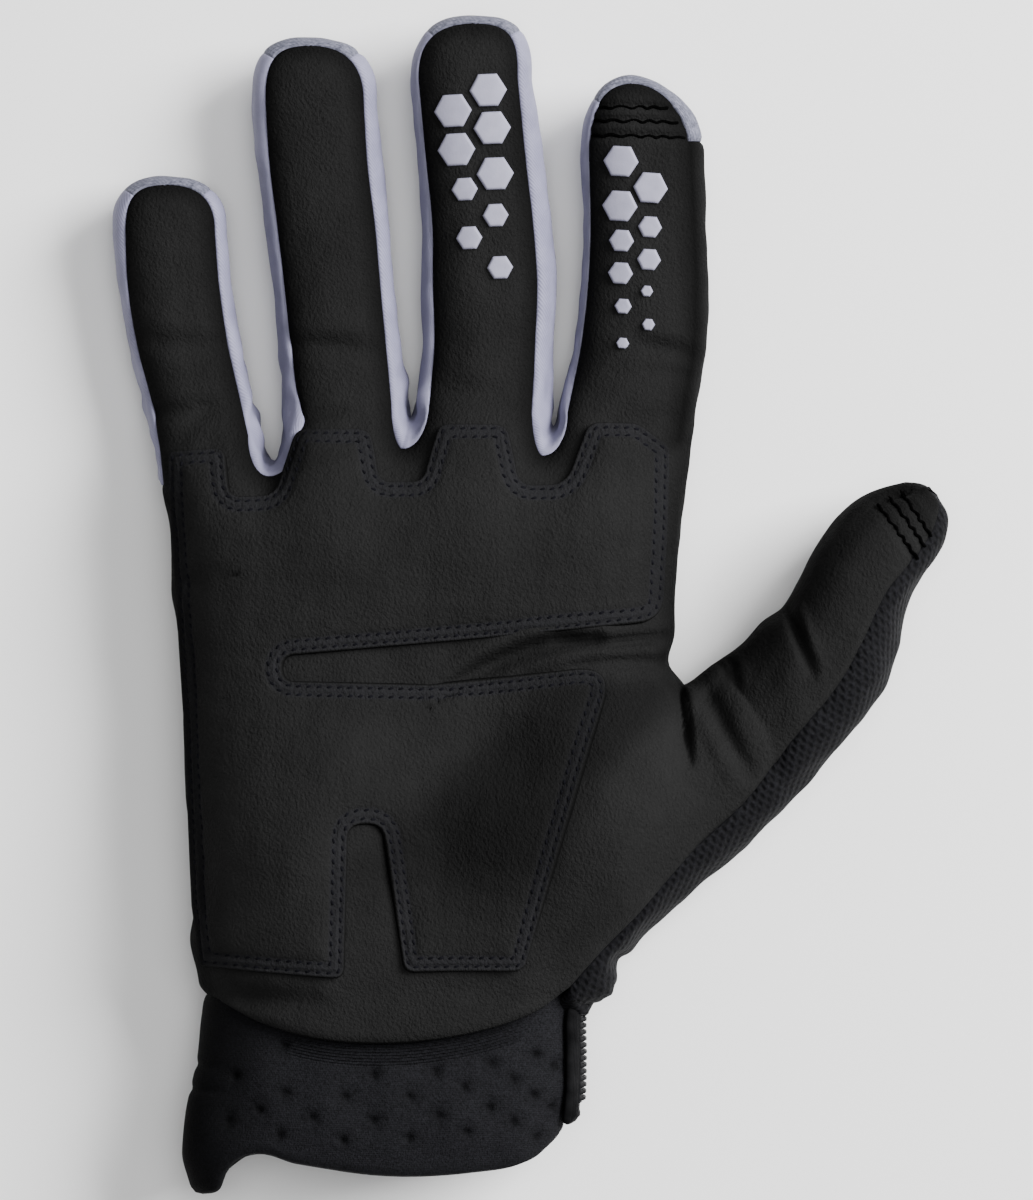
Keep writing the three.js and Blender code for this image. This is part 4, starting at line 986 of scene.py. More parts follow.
def piece(name, points, faces, material, node=None, places=None, marks=None):
    """A smooth closed piece from points in millimetres, its faces turned outward by the sign of its
    volume. Faces of four corners with a doubled one become triangles. Marks are numbers at the
    points that the material reads by name."""
    if np.sum(points[faces].mean(axis=1) * face_normals(points, faces)) < 0:
        faces = faces[:, ::-1]
        places = None if places is None else places[:, ::-1]
    loops = faces != np.roll(faces, -1, axis=1)
    counts = loops.sum(axis=1)
    mesh = bpy.data.meshes.new(name)
    mesh.vertices.add(len(points))
    mesh.vertices.foreach_set("co", (np.asarray(points) / 1000).astype(np.float32).ravel())
    mesh.loops.add(int(counts.sum()))
    mesh.loops.foreach_set("vertex_index", faces[loops].astype(np.int32))
    mesh.polygons.add(len(faces))
    mesh.polygons.foreach_set("loop_start", (np.cumsum(counts) - counts).astype(np.int32))
    mesh.polygons.foreach_set("loop_total", counts.astype(np.int32))
    mesh.update(calc_edges=True)
    mesh.polygons.foreach_set("use_smooth", np.ones(len(faces), dtype=bool))
    if places is not None:
        layer = mesh.uv_layers.new(name="cloth")
        layer.data.foreach_set("uv", places[loops].astype(np.float32).ravel())
    for mark, values in (marks or {}).items():
        attribute = mesh.attributes.new(mark, "FLOAT", "POINT")
        attribute.data.foreach_set("value", values.astype(np.float32))
    mesh.validate()
    mesh.materials.append(material)
    made = bpy.data.objects.new(name, mesh)
    bpy.context.collection.objects.link(made)
    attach(made, "root")
    if node is not None:
        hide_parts(*([node] if isinstance(node, str) else node))
    return made


# Materials
def linear(red, green, blue):
    """Scene colour of a screen colour from 0 to 255."""
    c = np.array([red, green, blue]) / 255
    return (*np.where(c <= 0.04045, c / 12.92, ((c + 0.055) / 1.055) ** 2.4), 1.0)


def grey(value):
    """Colour of three equal values."""
    return (value, value, value, 1)


class Finish:
    """A material of nodes: a principled surface, and short ways to add nodes to it."""

    def __init__(self, name, roughness, **settings):
        self.material = bpy.data.materials.new(name)
        self.material.use_nodes = True
        self.tree = self.material.node_tree
        self.surface = self.tree.nodes["Principled BSDF"]
        self.surface.inputs["Roughness"].default_value = roughness
        for socket, value in settings.items():
            self.surface.inputs[socket.replace("_", " ")].default_value = value
        self.place = self.add("ShaderNodeTexCoord").outputs["Object"]

    def add(self, kind, inputs=None, **settings):
        """A new node, whose inputs are linked to sockets or set to numbers."""
        node = self.tree.nodes.new(kind)
        for key, value in settings.items():
            setattr(node, key, value)
        for key, value in (inputs or {}).items():
            if isinstance(value, bpy.types.NodeSocket):
                self.tree.links.new(value, node.inputs[key])
            else:
                node.inputs[key].default_value = value
        return node

    def cloth(self):
        """Place on the cloth in millimetres."""
        return self.add("ShaderNodeUVMap", uv_map="cloth").outputs["UV"]

    def stretched(self, vector, scale, turn=0.0):
        """Place with its axes turned and scaled."""
        inputs = {"Vector": vector, "Scale": scale, "Rotation": (0, 0, turn)}
        return self.add("ShaderNodeMapping", inputs).outputs["Vector"]

    def noise(self, scale, detail=2.0, vector=None, roughness=0.5):
        """Cloudy noise from 0 to 1."""
        inputs = {"Vector": vector or self.place, "Scale": scale, "Detail": detail, "Roughness": roughness}
        return self.add("ShaderNodeTexNoise", inputs).outputs["Fac"]

    def cells(self, scale, vector=None, feature="F1", smoothness=1.0, randomness=1.0):
        """Distance to the middle of the nearest cell."""
        inputs = {"Vector": vector or self.place, "Scale": scale, "Randomness": randomness}
        node = self.add("ShaderNodeTexVoronoi", inputs, feature=feature)
        if feature == "SMOOTH_F1":
            node.inputs["Smoothness"].default_value = smoothness
        return node.outputs["Distance"]

    def math(self, operation, a, b=0.0, c=0.0):
        """Result of a sum or function of up to three values."""
        return self.add("ShaderNodeMath", {0: a, 1: b, 2: c}, operation=operation).outputs[0]

    def waves(self, vector, scale, distortion, detail):
        """Parallel bands of a weave, from 0 to 1."""
        inputs = {"Vector": vector, "Scale": scale, "Distortion": distortion, "Detail": detail}
        return self.add("ShaderNodeTexWave", inputs).outputs["Fac"]

    def mark(self, name, size=1.0):
        """A number that the mesh keeps at its points, divided by a size."""
        value = self.add("ShaderNodeAttribute", attribute_name=name).outputs["Fac"]
        return value if size == 1.0 else self.math("DIVIDE", value, size)

    def ramp(self, value, *stops):
        """Colour by a value, from stops of (value, colour)."""
        node = self.add("ShaderNodeValToRGB", {"Fac": value})
        ramp = node.color_ramp
        for i, (where, colour) in enumerate(stops):
            element = ramp.elements[i] if i < 2 else ramp.elements.new(where)
            element.position = where
            element.color = colour
        return node.outputs["Color"]

    def blend(self, share, a, b, kind="MIX"):
        """Mix of two colours."""
        node = self.add("ShaderNodeMix", data_type="RGBA", blend_type=kind)
        for key, value in ((0, share), (6, a), (7, b)):
            if isinstance(value, bpy.types.NodeSocket):
                self.tree.links.new(value, node.inputs[key])
            else:
                node.inputs[key].default_value = value
        return node.outputs[2]

    def finish(self, colour, heights, rough=None):
        """Joins the colour, and bumps from pairs of height in millimetres and socket."""
        self.tree.links.new(colour, self.surface.inputs["Base Color"])
        if rough is not None:
            self.tree.links.new(rough, self.surface.inputs["Roughness"])
        normal = None
        for height, socket in heights:
            inputs = {"Height": socket, "Distance": height / 1000, "Strength": 1.0}
            if normal is not None:
                inputs["Normal"] = normal
            normal = self.add("ShaderNodeBump", inputs).outputs["Normal"]
        if normal is not None:
            self.tree.links.new(normal, self.surface.inputs["Normal"])
        return self.material


def suede_finish(name, dark, light, banded=False):
    """Brushed synthetic suede: charcoal with a fine slanting pebbled nap, with painted shade along its
    margins and on the slope down from the thumb's mound. On the pad a lighter bluish band, pressed flat by
    the stitching, follows the edge, with a painted shadow along the very edge."""
    f = Finish(name, 0.9, Specular_IOR_Level=0.04)
    slanted = f.stretched(f.place, (1.15, 0.85, 1), 0.55)
    pebbles = f.noise(1500, 2, vector=slanted, roughness=0.5)
    nap = f.noise(2900, 3, roughness=0.6)
    tone = f.math("MULTIPLY_ADD", f.noise(60, 3), 0.35, f.math("MULTIPLY", nap, 0.65))
    colour = f.ramp(tone, (0.3, linear(*dark)), (0.7, linear(*light)))
    if banded:
        edge = f.mark("edge", 10.0)
        band = f.ramp(edge, (0.03, grey(0)), (0.06, grey(1)), (0.31, grey(1)), (0.36, grey(0)))
        pressed = f.ramp(tone, (0.3, linear(23, 23, 24)), (0.7, linear(32, 32, 34)))
        colour = f.blend(band, colour, pressed)
        # Painted shadow: the pad darkens within half a millimetre of its edge and on its underside, where a
        # contact shadow lies.
        rim = f.ramp(edge, (0.0, grey(0.2)), (0.02, grey(0.5)), (0.05, grey(1)))
        colour = f.blend(1.0, colour, rim, "MULTIPLY")
    # Painted shade: the suede darkens towards the edges of its palm side, and widely over the thumb.
    margin = f.mark("margin", 10.0)
    shade = f.ramp(margin, (0.0, grey(0.2)), (0.12, grey(0.42)), (0.4, grey(0.82)), (0.9, grey(1)))
    colour = f.blend(1.0, colour, shade, "MULTIPLY")
    # Painted shade on the slope down from the thumb's mound: the suede darkens there to 0.62 of its colour.
    slope_shade_factor = f.ramp(f.mark("painted_slope_shade"), (0.0, grey(1)), (1.0, grey(0.62)))
    colour = f.blend(1.0, colour, slope_shade_factor, "MULTIPLY")
    return f.finish(colour, [(0.36, pebbles), (0.1, nap), (0.22, f.noise(330, 2))])


def stretch_finish():
    """Smooth lavender-grey stretch cloth with a very fine diagonal rib."""
    f = Finish("lavender_stretch", 0.6, Specular_IOR_Level=0.25)
    cloth = f.stretched(f.cloth(), (1, 1, 1), 0.6)
    rib = f.waves(cloth, 0.62, 0.6, 1.0)
    tone = f.math("MULTIPLY_ADD", rib, 0.25, f.math("MULTIPLY", f.noise(160, 3), 0.75))
    colour = f.ramp(tone, (0.25, linear(106, 105, 127)), (0.75, linear(131, 130, 153)))
    return f.finish(colour, [(0.05, rib), (0.08, f.noise(900, 3))])


def heather_finish():
    """Grey heather knit: small loops with light and dark yarns mixed at random."""
    f = Finish("heather_knit", 0.72, Specular_IOR_Level=0.2)
    cloth = f.cloth()
    loops = f.cells(1.5, vector=f.stretched(cloth, (1.3, 0.8, 1)), randomness=0.25)
    yarn = f.noise(1.1, 3, vector=f.stretched(cloth, (2.2, 0.7, 1)), roughness=0.7)
    colour = f.ramp(
        yarn, (0.32, linear(62, 63, 74)), (0.5, linear(92, 93, 107)), (0.68, linear(114, 114, 129))
    )
    return f.finish(colour, [(0.18, loops), (0.06, f.noise(2200, 3))])


def mesh_finish():
    """Dimpled air mesh: bluish black, with slanting rows of wide oval dimples."""
    f = Finish("air_mesh", 0.75, Specular_IOR_Level=0.05)
    cloth = f.stretched(f.cloth(), (0.42, 0.78, 1), 0.45)
    holes = f.cells(1.0, vector=cloth, feature="SMOOTH_F1", smoothness=0.6, randomness=0.1)
    yarn = f.noise(1800, 3)
    deep = f.ramp(holes, (0.0, grey(0)), (0.5, grey(1)))
    base = f.ramp(yarn, (0.3, linear(8, 8, 9)), (0.7, linear(22, 22, 25)))
    colour = f.blend(deep, linear(7, 7, 8), base)
    return f.finish(colour, [(0.3, deep), (0.12, yarn)])


def cuff_finish():
    """Neoprene with a fine knitted face: near black with a bluish cast, darker in its holes with a soft
    painted shade round each, painted shade towards its left side, and close rows of stitching under the heel."""
    f = Finish("cuff_neoprene", 0.8, Specular_IOR_Level=0.045)
    cloth = f.cloth()
    knit = f.cells(2.6, vector=f.stretched(cloth, (1.2, 0.9, 1)), randomness=0.4)
    tone = f.math("MULTIPLY_ADD", knit, 0.35, f.math("MULTIPLY", f.noise(2300, 3), 0.75))
    colour = f.ramp(tone, (0.3, linear(9, 9, 10)), (0.72, linear(27, 27, 30)))
    # Darker in each hole, which is its own colour, with a soft painted shade in the pucker round it.
    hole_shade = f.ramp(f.mark("hole", 4.0), (0.06, grey(0.4)), (0.3, grey(0.8)), (0.75, grey(1)))
    colour = f.blend(1.0, colour, hole_shade, "MULTIPLY")
    # Painted shade: the cuff darkens towards its left side, away from the key light.
    side_shade = f.ramp(f.mark("margin", 20.0), (0.0, grey(0.08)), (0.35, grey(0.42)), (1.0, grey(1)))
    colour = f.blend(1.0, colour, side_shade, "MULTIPLY")
    turns = f.math("MULTIPLY", f.mark("below"), 2 * np.pi / SEWN_ROW_PITCH)
    rows = f.math("MULTIPLY", f.math("SINE", turns), f.mark("sewn"))
    return f.finish(colour, [(0.1, knit), (0.12, f.noise(1500, 3)), (0.16, rows)])


def rubber_finish(name, dark, light, roughness, shine=0.25):
    """Moulded rubber or thread: an even colour with a faint fine grain."""
    f = Finish(name, roughness, Specular_IOR_Level=shine)
    colour = f.ramp(f.noise(420, 4), (0.3, linear(*dark)), (0.7, linear(*light)))
    return f.finish(colour, [(0.03, f.noise(3000, 3))])


def strap_finish():
    """Woven strap: fine cross ribs on grey-black cloth."""
    f = Finish("strap_webbing", 0.7, Specular_IOR_Level=0.03)
    rib = f.waves(f.cloth(), 0.5, 0.8, 2.0)
    colour = f.ramp(f.noise(260, 3), (0.3, linear(7, 7, 8)), (0.7, linear(19, 19, 20)))
    return f.finish(colour, [(0.08, rib), (0.05, f.noise(2000, 2))])


suede = suede_finish("palm_suede", (20, 20, 20), (31, 31, 31))
pad_suede = suede_finish("pad_suede", (20, 20, 20), (31, 31, 31), banded=True)
stretch = stretch_finish()
heather = heather_finish()
air_mesh = mesh_finish()
neoprene = cuff_finish()
grip_rubber = rubber_finish("grip_rubber", (134, 133, 150), (142, 141, 158), 0.6)
rib_rubber = rubber_finish("rib_rubber", (10, 10, 12), (22, 22, 24), 0.55, 0.1)
webbing = strap_finish()
thread = rubber_finish("pad_thread", (11, 11, 14), (18, 18, 22), 0.9, 0.02)
tip_thread = rubber_finish("tip_thread", (2, 2, 2), (6, 6, 6), 0.9, 0.0)


def cloth_waves(points, distance):
    """Soft random waves, the same for all the cloth, so that neighbours move together. They fade
    where a piece is sewn."""
    return (0.15 * ripple(points, 13, 3) + 0.07 * ripple(points, 5.5, 4)) * smooth(0.2 + distance / 1.6)


# The suede palm
def palm_folds(points):
    """Creases on the palm side, none below its sides."""
    return creases(points[:, 0], points[:, 1]) * smooth((points[:, 2] - 9) / 6)


palm_hand = hand_face(1)
back_hand = hand_face(-1)
palm_thumb = thumb_face(1, palm_hand)
back_thumb = thumb_face(-1, back_hand)
hand_left = left_outline()
hand_right = right_outline()
rungs_right = np.concatenate([np.zeros(ROWS_ABOVE_THUMB), RUNGS, np.full(ROWS_BESIDE_THUMB, LAST_RUNG)])
side_height = mix(SIDE_HEIGHT, rung_value("mid", rungs_right), smooth(rungs_right / THUMB_BLEND_RUNGS))

left_strip = strip(
    palm_hand[:, 0], stack(hand_left[:, 0], hand_left[:, 1], SIDE_HEIGHT), back_hand[:, 0], 0, BACK_SEAM_GAP
)
right_fronts, right_backs = (
    np.concatenate([hand[: ROWS_ABOVE_THUMB + 1, -1], thumb[1:, 0], thumb[-1, 1:]])
    for hand, thumb in ((palm_hand, palm_thumb), (back_hand, back_thumb))
)
right_strip = strip(
    right_fronts, stack(hand_right[:, 0], hand_right[:, 1], side_height), right_backs, 0, BACK_SEAM_GAP
)

palm = Sheet().add(palm_hand)
for k in range(4):
    palm.add(finger_face(k, 1), flip=True)
palm.add(palm_thumb, flip=True)
palm.add(left_strip, flip=True)
palm.add(right_strip)
whole = finger_rows()
shaft = whole[whole <= INDEX_CAP + 1e-6]
palm.add(strip(*finger_sections(3, 1, shaft), 0, BACK_SEAM_GAP), flip=True)
front_seams = np.concatenate([palm_hand[:, 0], right_fronts, finger_sections(3, 1, shaft)[0]])
margins = [hand_left, hand_right]
margins += [stack(*finger_edge(k, side, whole, 1.0)) for k in range(4) for side in (-1, 1)]
margins = np.concatenate(margins)


def margin(points):
    """Distance in plan to where the palm side ends or turns down, for the painted shade along the suede's
    margin. It counts less on the thumb, so that the painted shade there is wide."""
    return distance_to(points[:, :2], margins) * mix(1.0, 0.4, smooth((points[:, 0] - 40) / 14))


def painted_slope_shade(points):
    """Share of painted shade on the suede: full on the slope down from the thumb's mound, from a slanting
    line in the palm's hollow to the pad's right side, past it near the thumb's fork, with soft ends."""
    x, y = points[:, 0], points[:, 1]
    past_line = 0.675 * (x + 3) - 0.737 * (y + 19)
    side = 23 + 0.3 * (y + 12) + 12 * hump(y + 18, 13)
    share = smooth((past_line + 2) / 9) * smooth((side - x) / 10)
    return share * smooth((y + 66) / 18) * smooth((-13 - y) / 5)


def palm_marks(points):
    """Marks of the suede's painted shade: the distance to its margin, where painted shade darkens it, which
    ends again low on the sides of the hand, and the share of painted shade on the slope down from the thumb's
    mound.
    """
    # The painted edge shade ends again low on the sides of the hand.
    on_side = smooth((15 - points[:, 2]) / 6) * smooth((24 - points[:, 1]) / 6)
    return {"margin": margin(points) + 4 * on_side, "painted_slope_shade": painted_slope_shade(points)}


points, faces, places = body(
    palm, SUEDE_WALL, cloth_waves, seam=(0.5, 0.7), joins=front_seams, sink=palm_folds
)
piece("palm_suede_panel", points, faces, suede, "palm_panel", places, palm_marks(points))


# The back of the hand and the thumb in air mesh
def back_shape(points, distance):
    """Soft waves away from the surface that it lies on. At the wrist by the strap the mesh bulges
    out below a pinch, with gathers that run round the bulge."""
    up = smooth((points[:, 2] - 2) / 5)
    from_knot = from_place(points, WRIST_KNOT)
    at_wrist = smooth((15 - from_knot) / 7) * smooth(points[:, 2] / 6)
    folds = 0.16 * np.sin(2 * np.pi * from_knot / 2.9) * at_wrist * smooth((from_knot - 1.5) / 2)
    rise, pinch = (
        spot["height"] * hump(from_place(points, spot["place"]), spot["size"])
        for spot in (WRIST_BULGE, WRIST_PINCH)
    )
    return up * (0.18 * ripple(points, 9, 11) + folds + (rise - pinch))


outline_height = mix(SIDE_HEIGHT, rung_value("mid", RUNGS), smooth(RUNGS / THUMB_BLEND_RUNGS))
thumb_outline = stack(rung_value("out_x", RUNGS), rung_value("out_y", RUNGS), outline_height)
back = Sheet().add(back_hand, flip=True).add(back_thumb)
thumb_side = strip(palm_thumb[:, -1], thumb_outline, back_thumb[:, -1], FRONT_SEAM_GAP, 0)
back.add(thumb_side, flip=True)

# Hem of the mesh, from its first section down to the top of the strap, with a soft bulge
section_share = np.linspace(0, 1, PROFILE_CELLS + 1)[:, None]
toward = np.where(
    section_share < 0.5,
    mix(np.array(HEM["seam"]), np.array(HEM["outline"]), smooth(section_share * 2)),
    mix(np.array(HEM["outline"]), np.array(HEM["back"]), smooth(section_share * 2 - 1)),
)
hem_share = np.linspace(0, 1, HEM_CELLS + 1)[::-1, None, None]
hem = thumb_side[0] + toward * hem_share
back.add(hem, flip=True)
points, faces, places = body(back, MESH_WALL, back_shape, seam=(0.5, 0.8))
piece("mesh_back", points, faces, air_mesh, "hand_back", places)


# Knit backs of the fingers, which come over the tips
def knit_shape(points, distance):
    """Soft waves in the knit."""
    return smooth(points[:, 2] / 4) * cloth_waves(points, distance)


for k, finger in enumerate(FINGERS):
    knit = Sheet().add(finger_face(k, -1))
    for side in (-1, 1):
        start = INDEX_CAP if (k == 3 and side > 0) else KNIT_CAP
        rim = whole[whole >= start - 1e-6]
        knit.add(strip(*finger_sections(k, side, rim), FRONT_SEAM_GAP, 0), flip=side > 0)
    points, faces, places = body(knit, KNIT_WALL, knit_shape, seam=(0.2, 0.6), roll=0.15)
    name = finger["name"] + "_back"
    piece(name + "_knit", points, faces, heather, name, places)


# Stretch strips between the fingers
def stretch_shape(points, distance):
    """Puckers in the stretch cloth, strongest low in the forks."""
    low = smooth((60 - points[:, 1]) / 25)
    return cloth_waves(points, distance) + 0.3 * low * ripple(points, 5, 31) * smooth(distance / 1.5)


def stretch_piece(name, sections):
    """One strip of stretch cloth from its sections of seam, outline and seam."""
    sheet = Sheet().add(strip(*sections, FRONT_SEAM_GAP, BACK_SEAM_GAP))
    points, faces, places = body(sheet, STRETCH_WALL, stretch_shape, seam=(0.2, 0.6), roll=0.15)
    piece(name + "_cloth", points, faces, stretch, name, places)


sides = whole[whole <= KNIT_CAP]
stretch_piece("gusset_pinky_outer", finger_sections(0, -1, sides))
for fork, name in enumerate(["gusset_pinky_ring", "gusset_ring_middle", "gusset_middle_index"]):
    down = finger_sections(fork, 1, sides[::-1])
    up = finger_sections(fork + 1, -1, sides[1:])
    stretch_piece(name, [np.concatenate(pair) for pair in zip(down, up)])


# Pad on the palm
def rounded_outline(corners, pitch):
    """Closed outline through corners in equal steps, each corner rounded by a parabola whose ends
    lie where a circle of its radius would touch."""
    here = stack(corners["x"], corners["y"])
    back, ahead = np.roll(here, 1, axis=0) - here, np.roll(here, -1, axis=0) - here
    lengths = [np.linalg.norm(way, axis=1, keepdims=True) for way in (back, ahead)]
    cosine = np.sum(back * ahead, axis=1, keepdims=True) / (lengths[0] * lengths[1])
    half = np.arccos(np.clip(cosine, -1, 1)) / 2
    reach = np.minimum(0.49 * np.minimum(*lengths), corners["radius"][:, None] / np.tan(half))
    start, end = here + back / lengths[0] * reach, here + ahead / lengths[1] * reach
    t = np.linspace(0, 1, 24)[:, None, None]
    bends = start * (1 - t) ** 2 + 2 * here * t * (1 - t) + end * t * t
    path = np.transpose(bends, (1, 0, 2)).reshape(-1, 2)
    return even_steps(path, pitch)


def even_steps(path, pitch):
    """Closed path resampled in equal steps near the pitch."""
    loop = np.concatenate([path, path[:1]])
    length = np.concatenate([[0], np.cumsum(np.linalg.norm(np.diff(loop, axis=0), axis=1))])
    places = np.linspace(0, length[-1], int(length[-1] / pitch), endpoint=False)
    return stack(*(np.interp(places, length, loop[:, k]) for k in range(2)))


def inside(points, loop):
    """Whether points lie in a closed loop: an odd number of its edges lie to their right."""
    found = np.zeros(len(points), dtype=bool)
    a, b = loop, np.roll(loop, -1, axis=0)
    slope = (b[:, 0] - a[:, 0]) / np.where(b[:, 1] == a[:, 1], 1e-9, b[:, 1] - a[:, 1])
    for start in range(0, len(points), BLOCK):
        p = points[start : start + BLOCK, None]
        spans = (a[:, 1] > p[..., 1]) != (b[:, 1] > p[..., 1])
        right = p[..., 0] < a[:, 0] + slope * (p[..., 1] - a[:, 1])
        found[start : start + BLOCK] = (spans & right).sum(axis=1) % 2 == 1
    return found


def inset_loop(loop, inset):
    """Points of a loop moved into it, without those that come too near another part of it."""
    way = np.roll(loop, -1, axis=0) - np.roll(loop, 1, axis=0)
    way /= np.linalg.norm(way, axis=1, keepdims=True)
    area = np.sum(loop[:, 0] * np.roll(loop[:, 1], -1) - loop[:, 1] * np.roll(loop[:, 0], -1))
    moved = loop + np.sign(area) * inset * stack(-way[:, 1], way[:, 0])
    return moved[distance_to(moved, loop) > inset - 0.04]


def pad_height(edge):
    """Height of the pad over the suede by the distance to its edge: a rolled rim, two rows of
    stitching pressed in with a low welt between them, and a soft crown inside."""
    rim = np.sqrt(1 - (1 - np.clip(edge / 0.75, 0, 1)) ** 2)
    rows = 0.5 * hump(edge - STITCH_ROWS[0], 0.42) + 0.5 * hump(edge - STITCH_ROWS[1], 0.42)
    return PAD_HEIGHT * rim - rows + 0.35 * smooth((edge - STITCH_ROWS[1]) / 5)


def pad_skin(x, y):
    """Height under the pad: the palm side with its creases, which fade out towards the pad's edge."""
    place = stack(x, y)
    edge = distance_to(place.reshape(-1, 2), pad_loop).reshape(place.shape[:-1])
    return plain_skin(x, y) + creases(x, y) * smooth((edge - 0.6) / 4)


def pad_top(plan, edge):
    """Points on the pad's top by their place in plan and their distance to its edge, and the
    normals of the skin under them: the pad's height with soft waves that fade at its rim."""
    ground = stack(plan[:, 0], plan[:, 1], pad_skin(plan[:, 0], plan[:, 1]))
    normal = skin_normal(plan[:, 0], plan[:, 1], pad_skin)
    waves = 0.14 * ripple(ground, 15, 41) + 0.07 * ripple(ground, 6, 42)
    return ground + normal * (pad_height(edge) + waves * smooth(edge / 3))[:, None], ground, normal


def pad_plan():
    """Points and triangles of the pad in plan: its outline, rings inside it and a field of
    staggered rows, joined so that every triangle faces up."""
    rings = [inset_loop(pad_loop, inset) for inset in PAD_RINGS]
    low, high = pad_loop.min(axis=0), pad_loop.max(axis=0)
    rows = np.arange(low[1], high[1], PAD_PITCH * 0.87)
    grid_x, grid_y = np.meshgrid(np.arange(low[0], high[0], PAD_PITCH), rows)
    grid_x = grid_x + (np.arange(len(grid_x)) % 2)[:, None] * PAD_PITCH / 2
    field = stack(grid_x.ravel(), grid_y.ravel())
    field = field[inside(field, pad_loop)]
    field = field[distance_to(field, pad_loop) > PAD_FIELD_INSET]
    start = np.concatenate([pad_loop, *rings, field])
    outline = [list(range(len(pad_loop)))]
    plan, _, triangles, *_ = delaunay_2d_cdt(start.tolist(), [], outline, 1, 1e-5)
    plan = np.array([tuple(p) for p in plan])
    triangles = np.array(triangles)
    a = plan[triangles[:, 1]] - plan[triangles[:, 0]]
    b = plan[triangles[:, 2]] - plan[triangles[:, 0]]
    turned = a[:, 0] * b[:, 1] - a[:, 1] * b[:, 0] < 0
    triangles[turned] = triangles[turned][:, ::-1]
    return plan, triangles


pad_loop = rounded_outline(PAD_CORNERS, PAD_OUTLINE_PITCH)
plan, triangles = pad_plan()
edge = distance_to(plan, pad_loop)
edge[edge < 0.05] = 0
top, ground, normal = pad_top(plan, edge)
bottom = ground - normal * PAD_SUNK
count = len(plan)
over = np.concatenate([triangles, triangles[:, 2:]], axis=1)
under = triangles[:, ::-1] + count
under = np.concatenate([under, under[:, 2:]], axis=1)
starts, ends, _ = open_edges(over)
rim_faces = np.stack([ends, starts, starts + count, ends + count], axis=1)
both = np.concatenate([top, bottom])
pad = piece(
    "palm_pad_suede",
    both,
    np.concatenate([over, under, rim_faces]),
    pad_suede,
    "palm_pad",
    marks={"edge": np.concatenate([edge, edge * 0]), **palm_marks(both)},
)


# Stitches
def rings_closed(points):
    """Faces of rows of rings, given as parts x rings x sides, with flat caps on the end rings."""
    parts, rows, sides = points.shape[:3]
    ids = np.arange(parts * rows * sides).reshape(parts, rows, sides)
    a, b = ids[:, :-1], ids[:, 1:]
    walls = np.stack([a, np.roll(a, -1, axis=2), np.roll(b, -1, axis=2), b], axis=-1).reshape(-1, 4)
    fans = [(0, k, k + 1, k + 2) for k in range(1, sides - 2, 2)]
    first = np.concatenate([ids[:, 0, fan[::-1]] for fan in fans])
    last = np.concatenate([ids[:, -1, fan] for fan in fans])
    return np.concatenate([walls, first, last])


def threads(centres, ways, normals, length, radius):
    """Short rounded stitches, joined into one mesh: each a row of rings round its way."""
    along = np.array([-1.0, -0.75, -0.3, 0.3, 0.75, 1.0]) * length / 2
    wide = np.array([0.35, 0.8, 1.0, 1.0, 0.8, 0.35]) * radius
    turn = np.linspace(0, 2 * np.pi, 6, endpoint=False)
    sideways = np.cross(normals, ways)
    ring = (
        sideways[:, None, None] * np.cos(turn)[None, None, :, None]
        + normals[:, None, None] * np.sin(turn)[None, None, :, None]
    )
    points = centres[:, None, None] + ways[:, None, None] * along[None, :, None, None]
    points = points + ring * wide[None, :, None, None]
    return points.reshape(-1, 3), rings_closed(points)


def on_skin(path, lift):
    """Points of a path in plan laid on the palm side, and the normals there."""
    normals = skin_normal(path[:, 0], path[:, 1])
    ground = stack(path[:, 0], path[:, 1], skin(path[:, 0], path[:, 1]))
    return ground + normals * np.reshape(lift, (-1, 1)), normals


def tube(path, normals, radius, sides=8):
    """Round thread along a path: rings square to its way, smaller at its ends."""
    way = np.gradient(path, axis=0)
    way /= np.linalg.norm(way, axis=1, keepdims=True)
    sideways = np.cross(normals, way)
    turn = np.linspace(0, 2 * np.pi, sides, endpoint=False)
    wide = np.full(len(path), radius)
    wide[[0, -1]] = 0.4 * radius
    ring = sideways[:, None] * np.cos(turn)[:, None] + normals[:, None] * np.sin(turn)[:, None]
    points = path[:, None] + ring * wide[:, None, None]
    return points.reshape(-1, 3), rings_closed(points[None])


def joined(parts):
    """Points and faces of several meshes as one."""
    offset = np.cumsum([0] + [len(points) for points, _ in parts[:-1]])
    faces = np.concatenate([part[1] + shift for part, shift in zip(parts, offset)])
    return np.concatenate([points for points, _ in parts]), faces


stitched = []
for row in STITCH_ROWS:
    line = even_steps(inset_loop(pad_loop, row), STITCH_PITCH)
    way = np.roll(line, -1, axis=0) - np.roll(line, 1, axis=0)
    way /= np.linalg.norm(way, axis=1, keepdims=True)
    centres, _, normals = pad_top(line, np.full(len(line), row))
    level = np.concatenate([way, np.zeros((len(way), 1))], axis=1)
    level -= normals * np.sum(level * normals, axis=1, keepdims=True)
    level /= np.linalg.norm(level, axis=1, keepdims=True)
    slanted = level * np.cos(STITCH_SLANT) + np.cross(normals, level) * np.sin(STITCH_SLANT)
    stitched.append(threads(centres, slanted, normals, STITCH_LENGTH, STITCH_RADIUS))
points, faces = joined(stitched)
piece("pad_stitching", points, faces, thread)


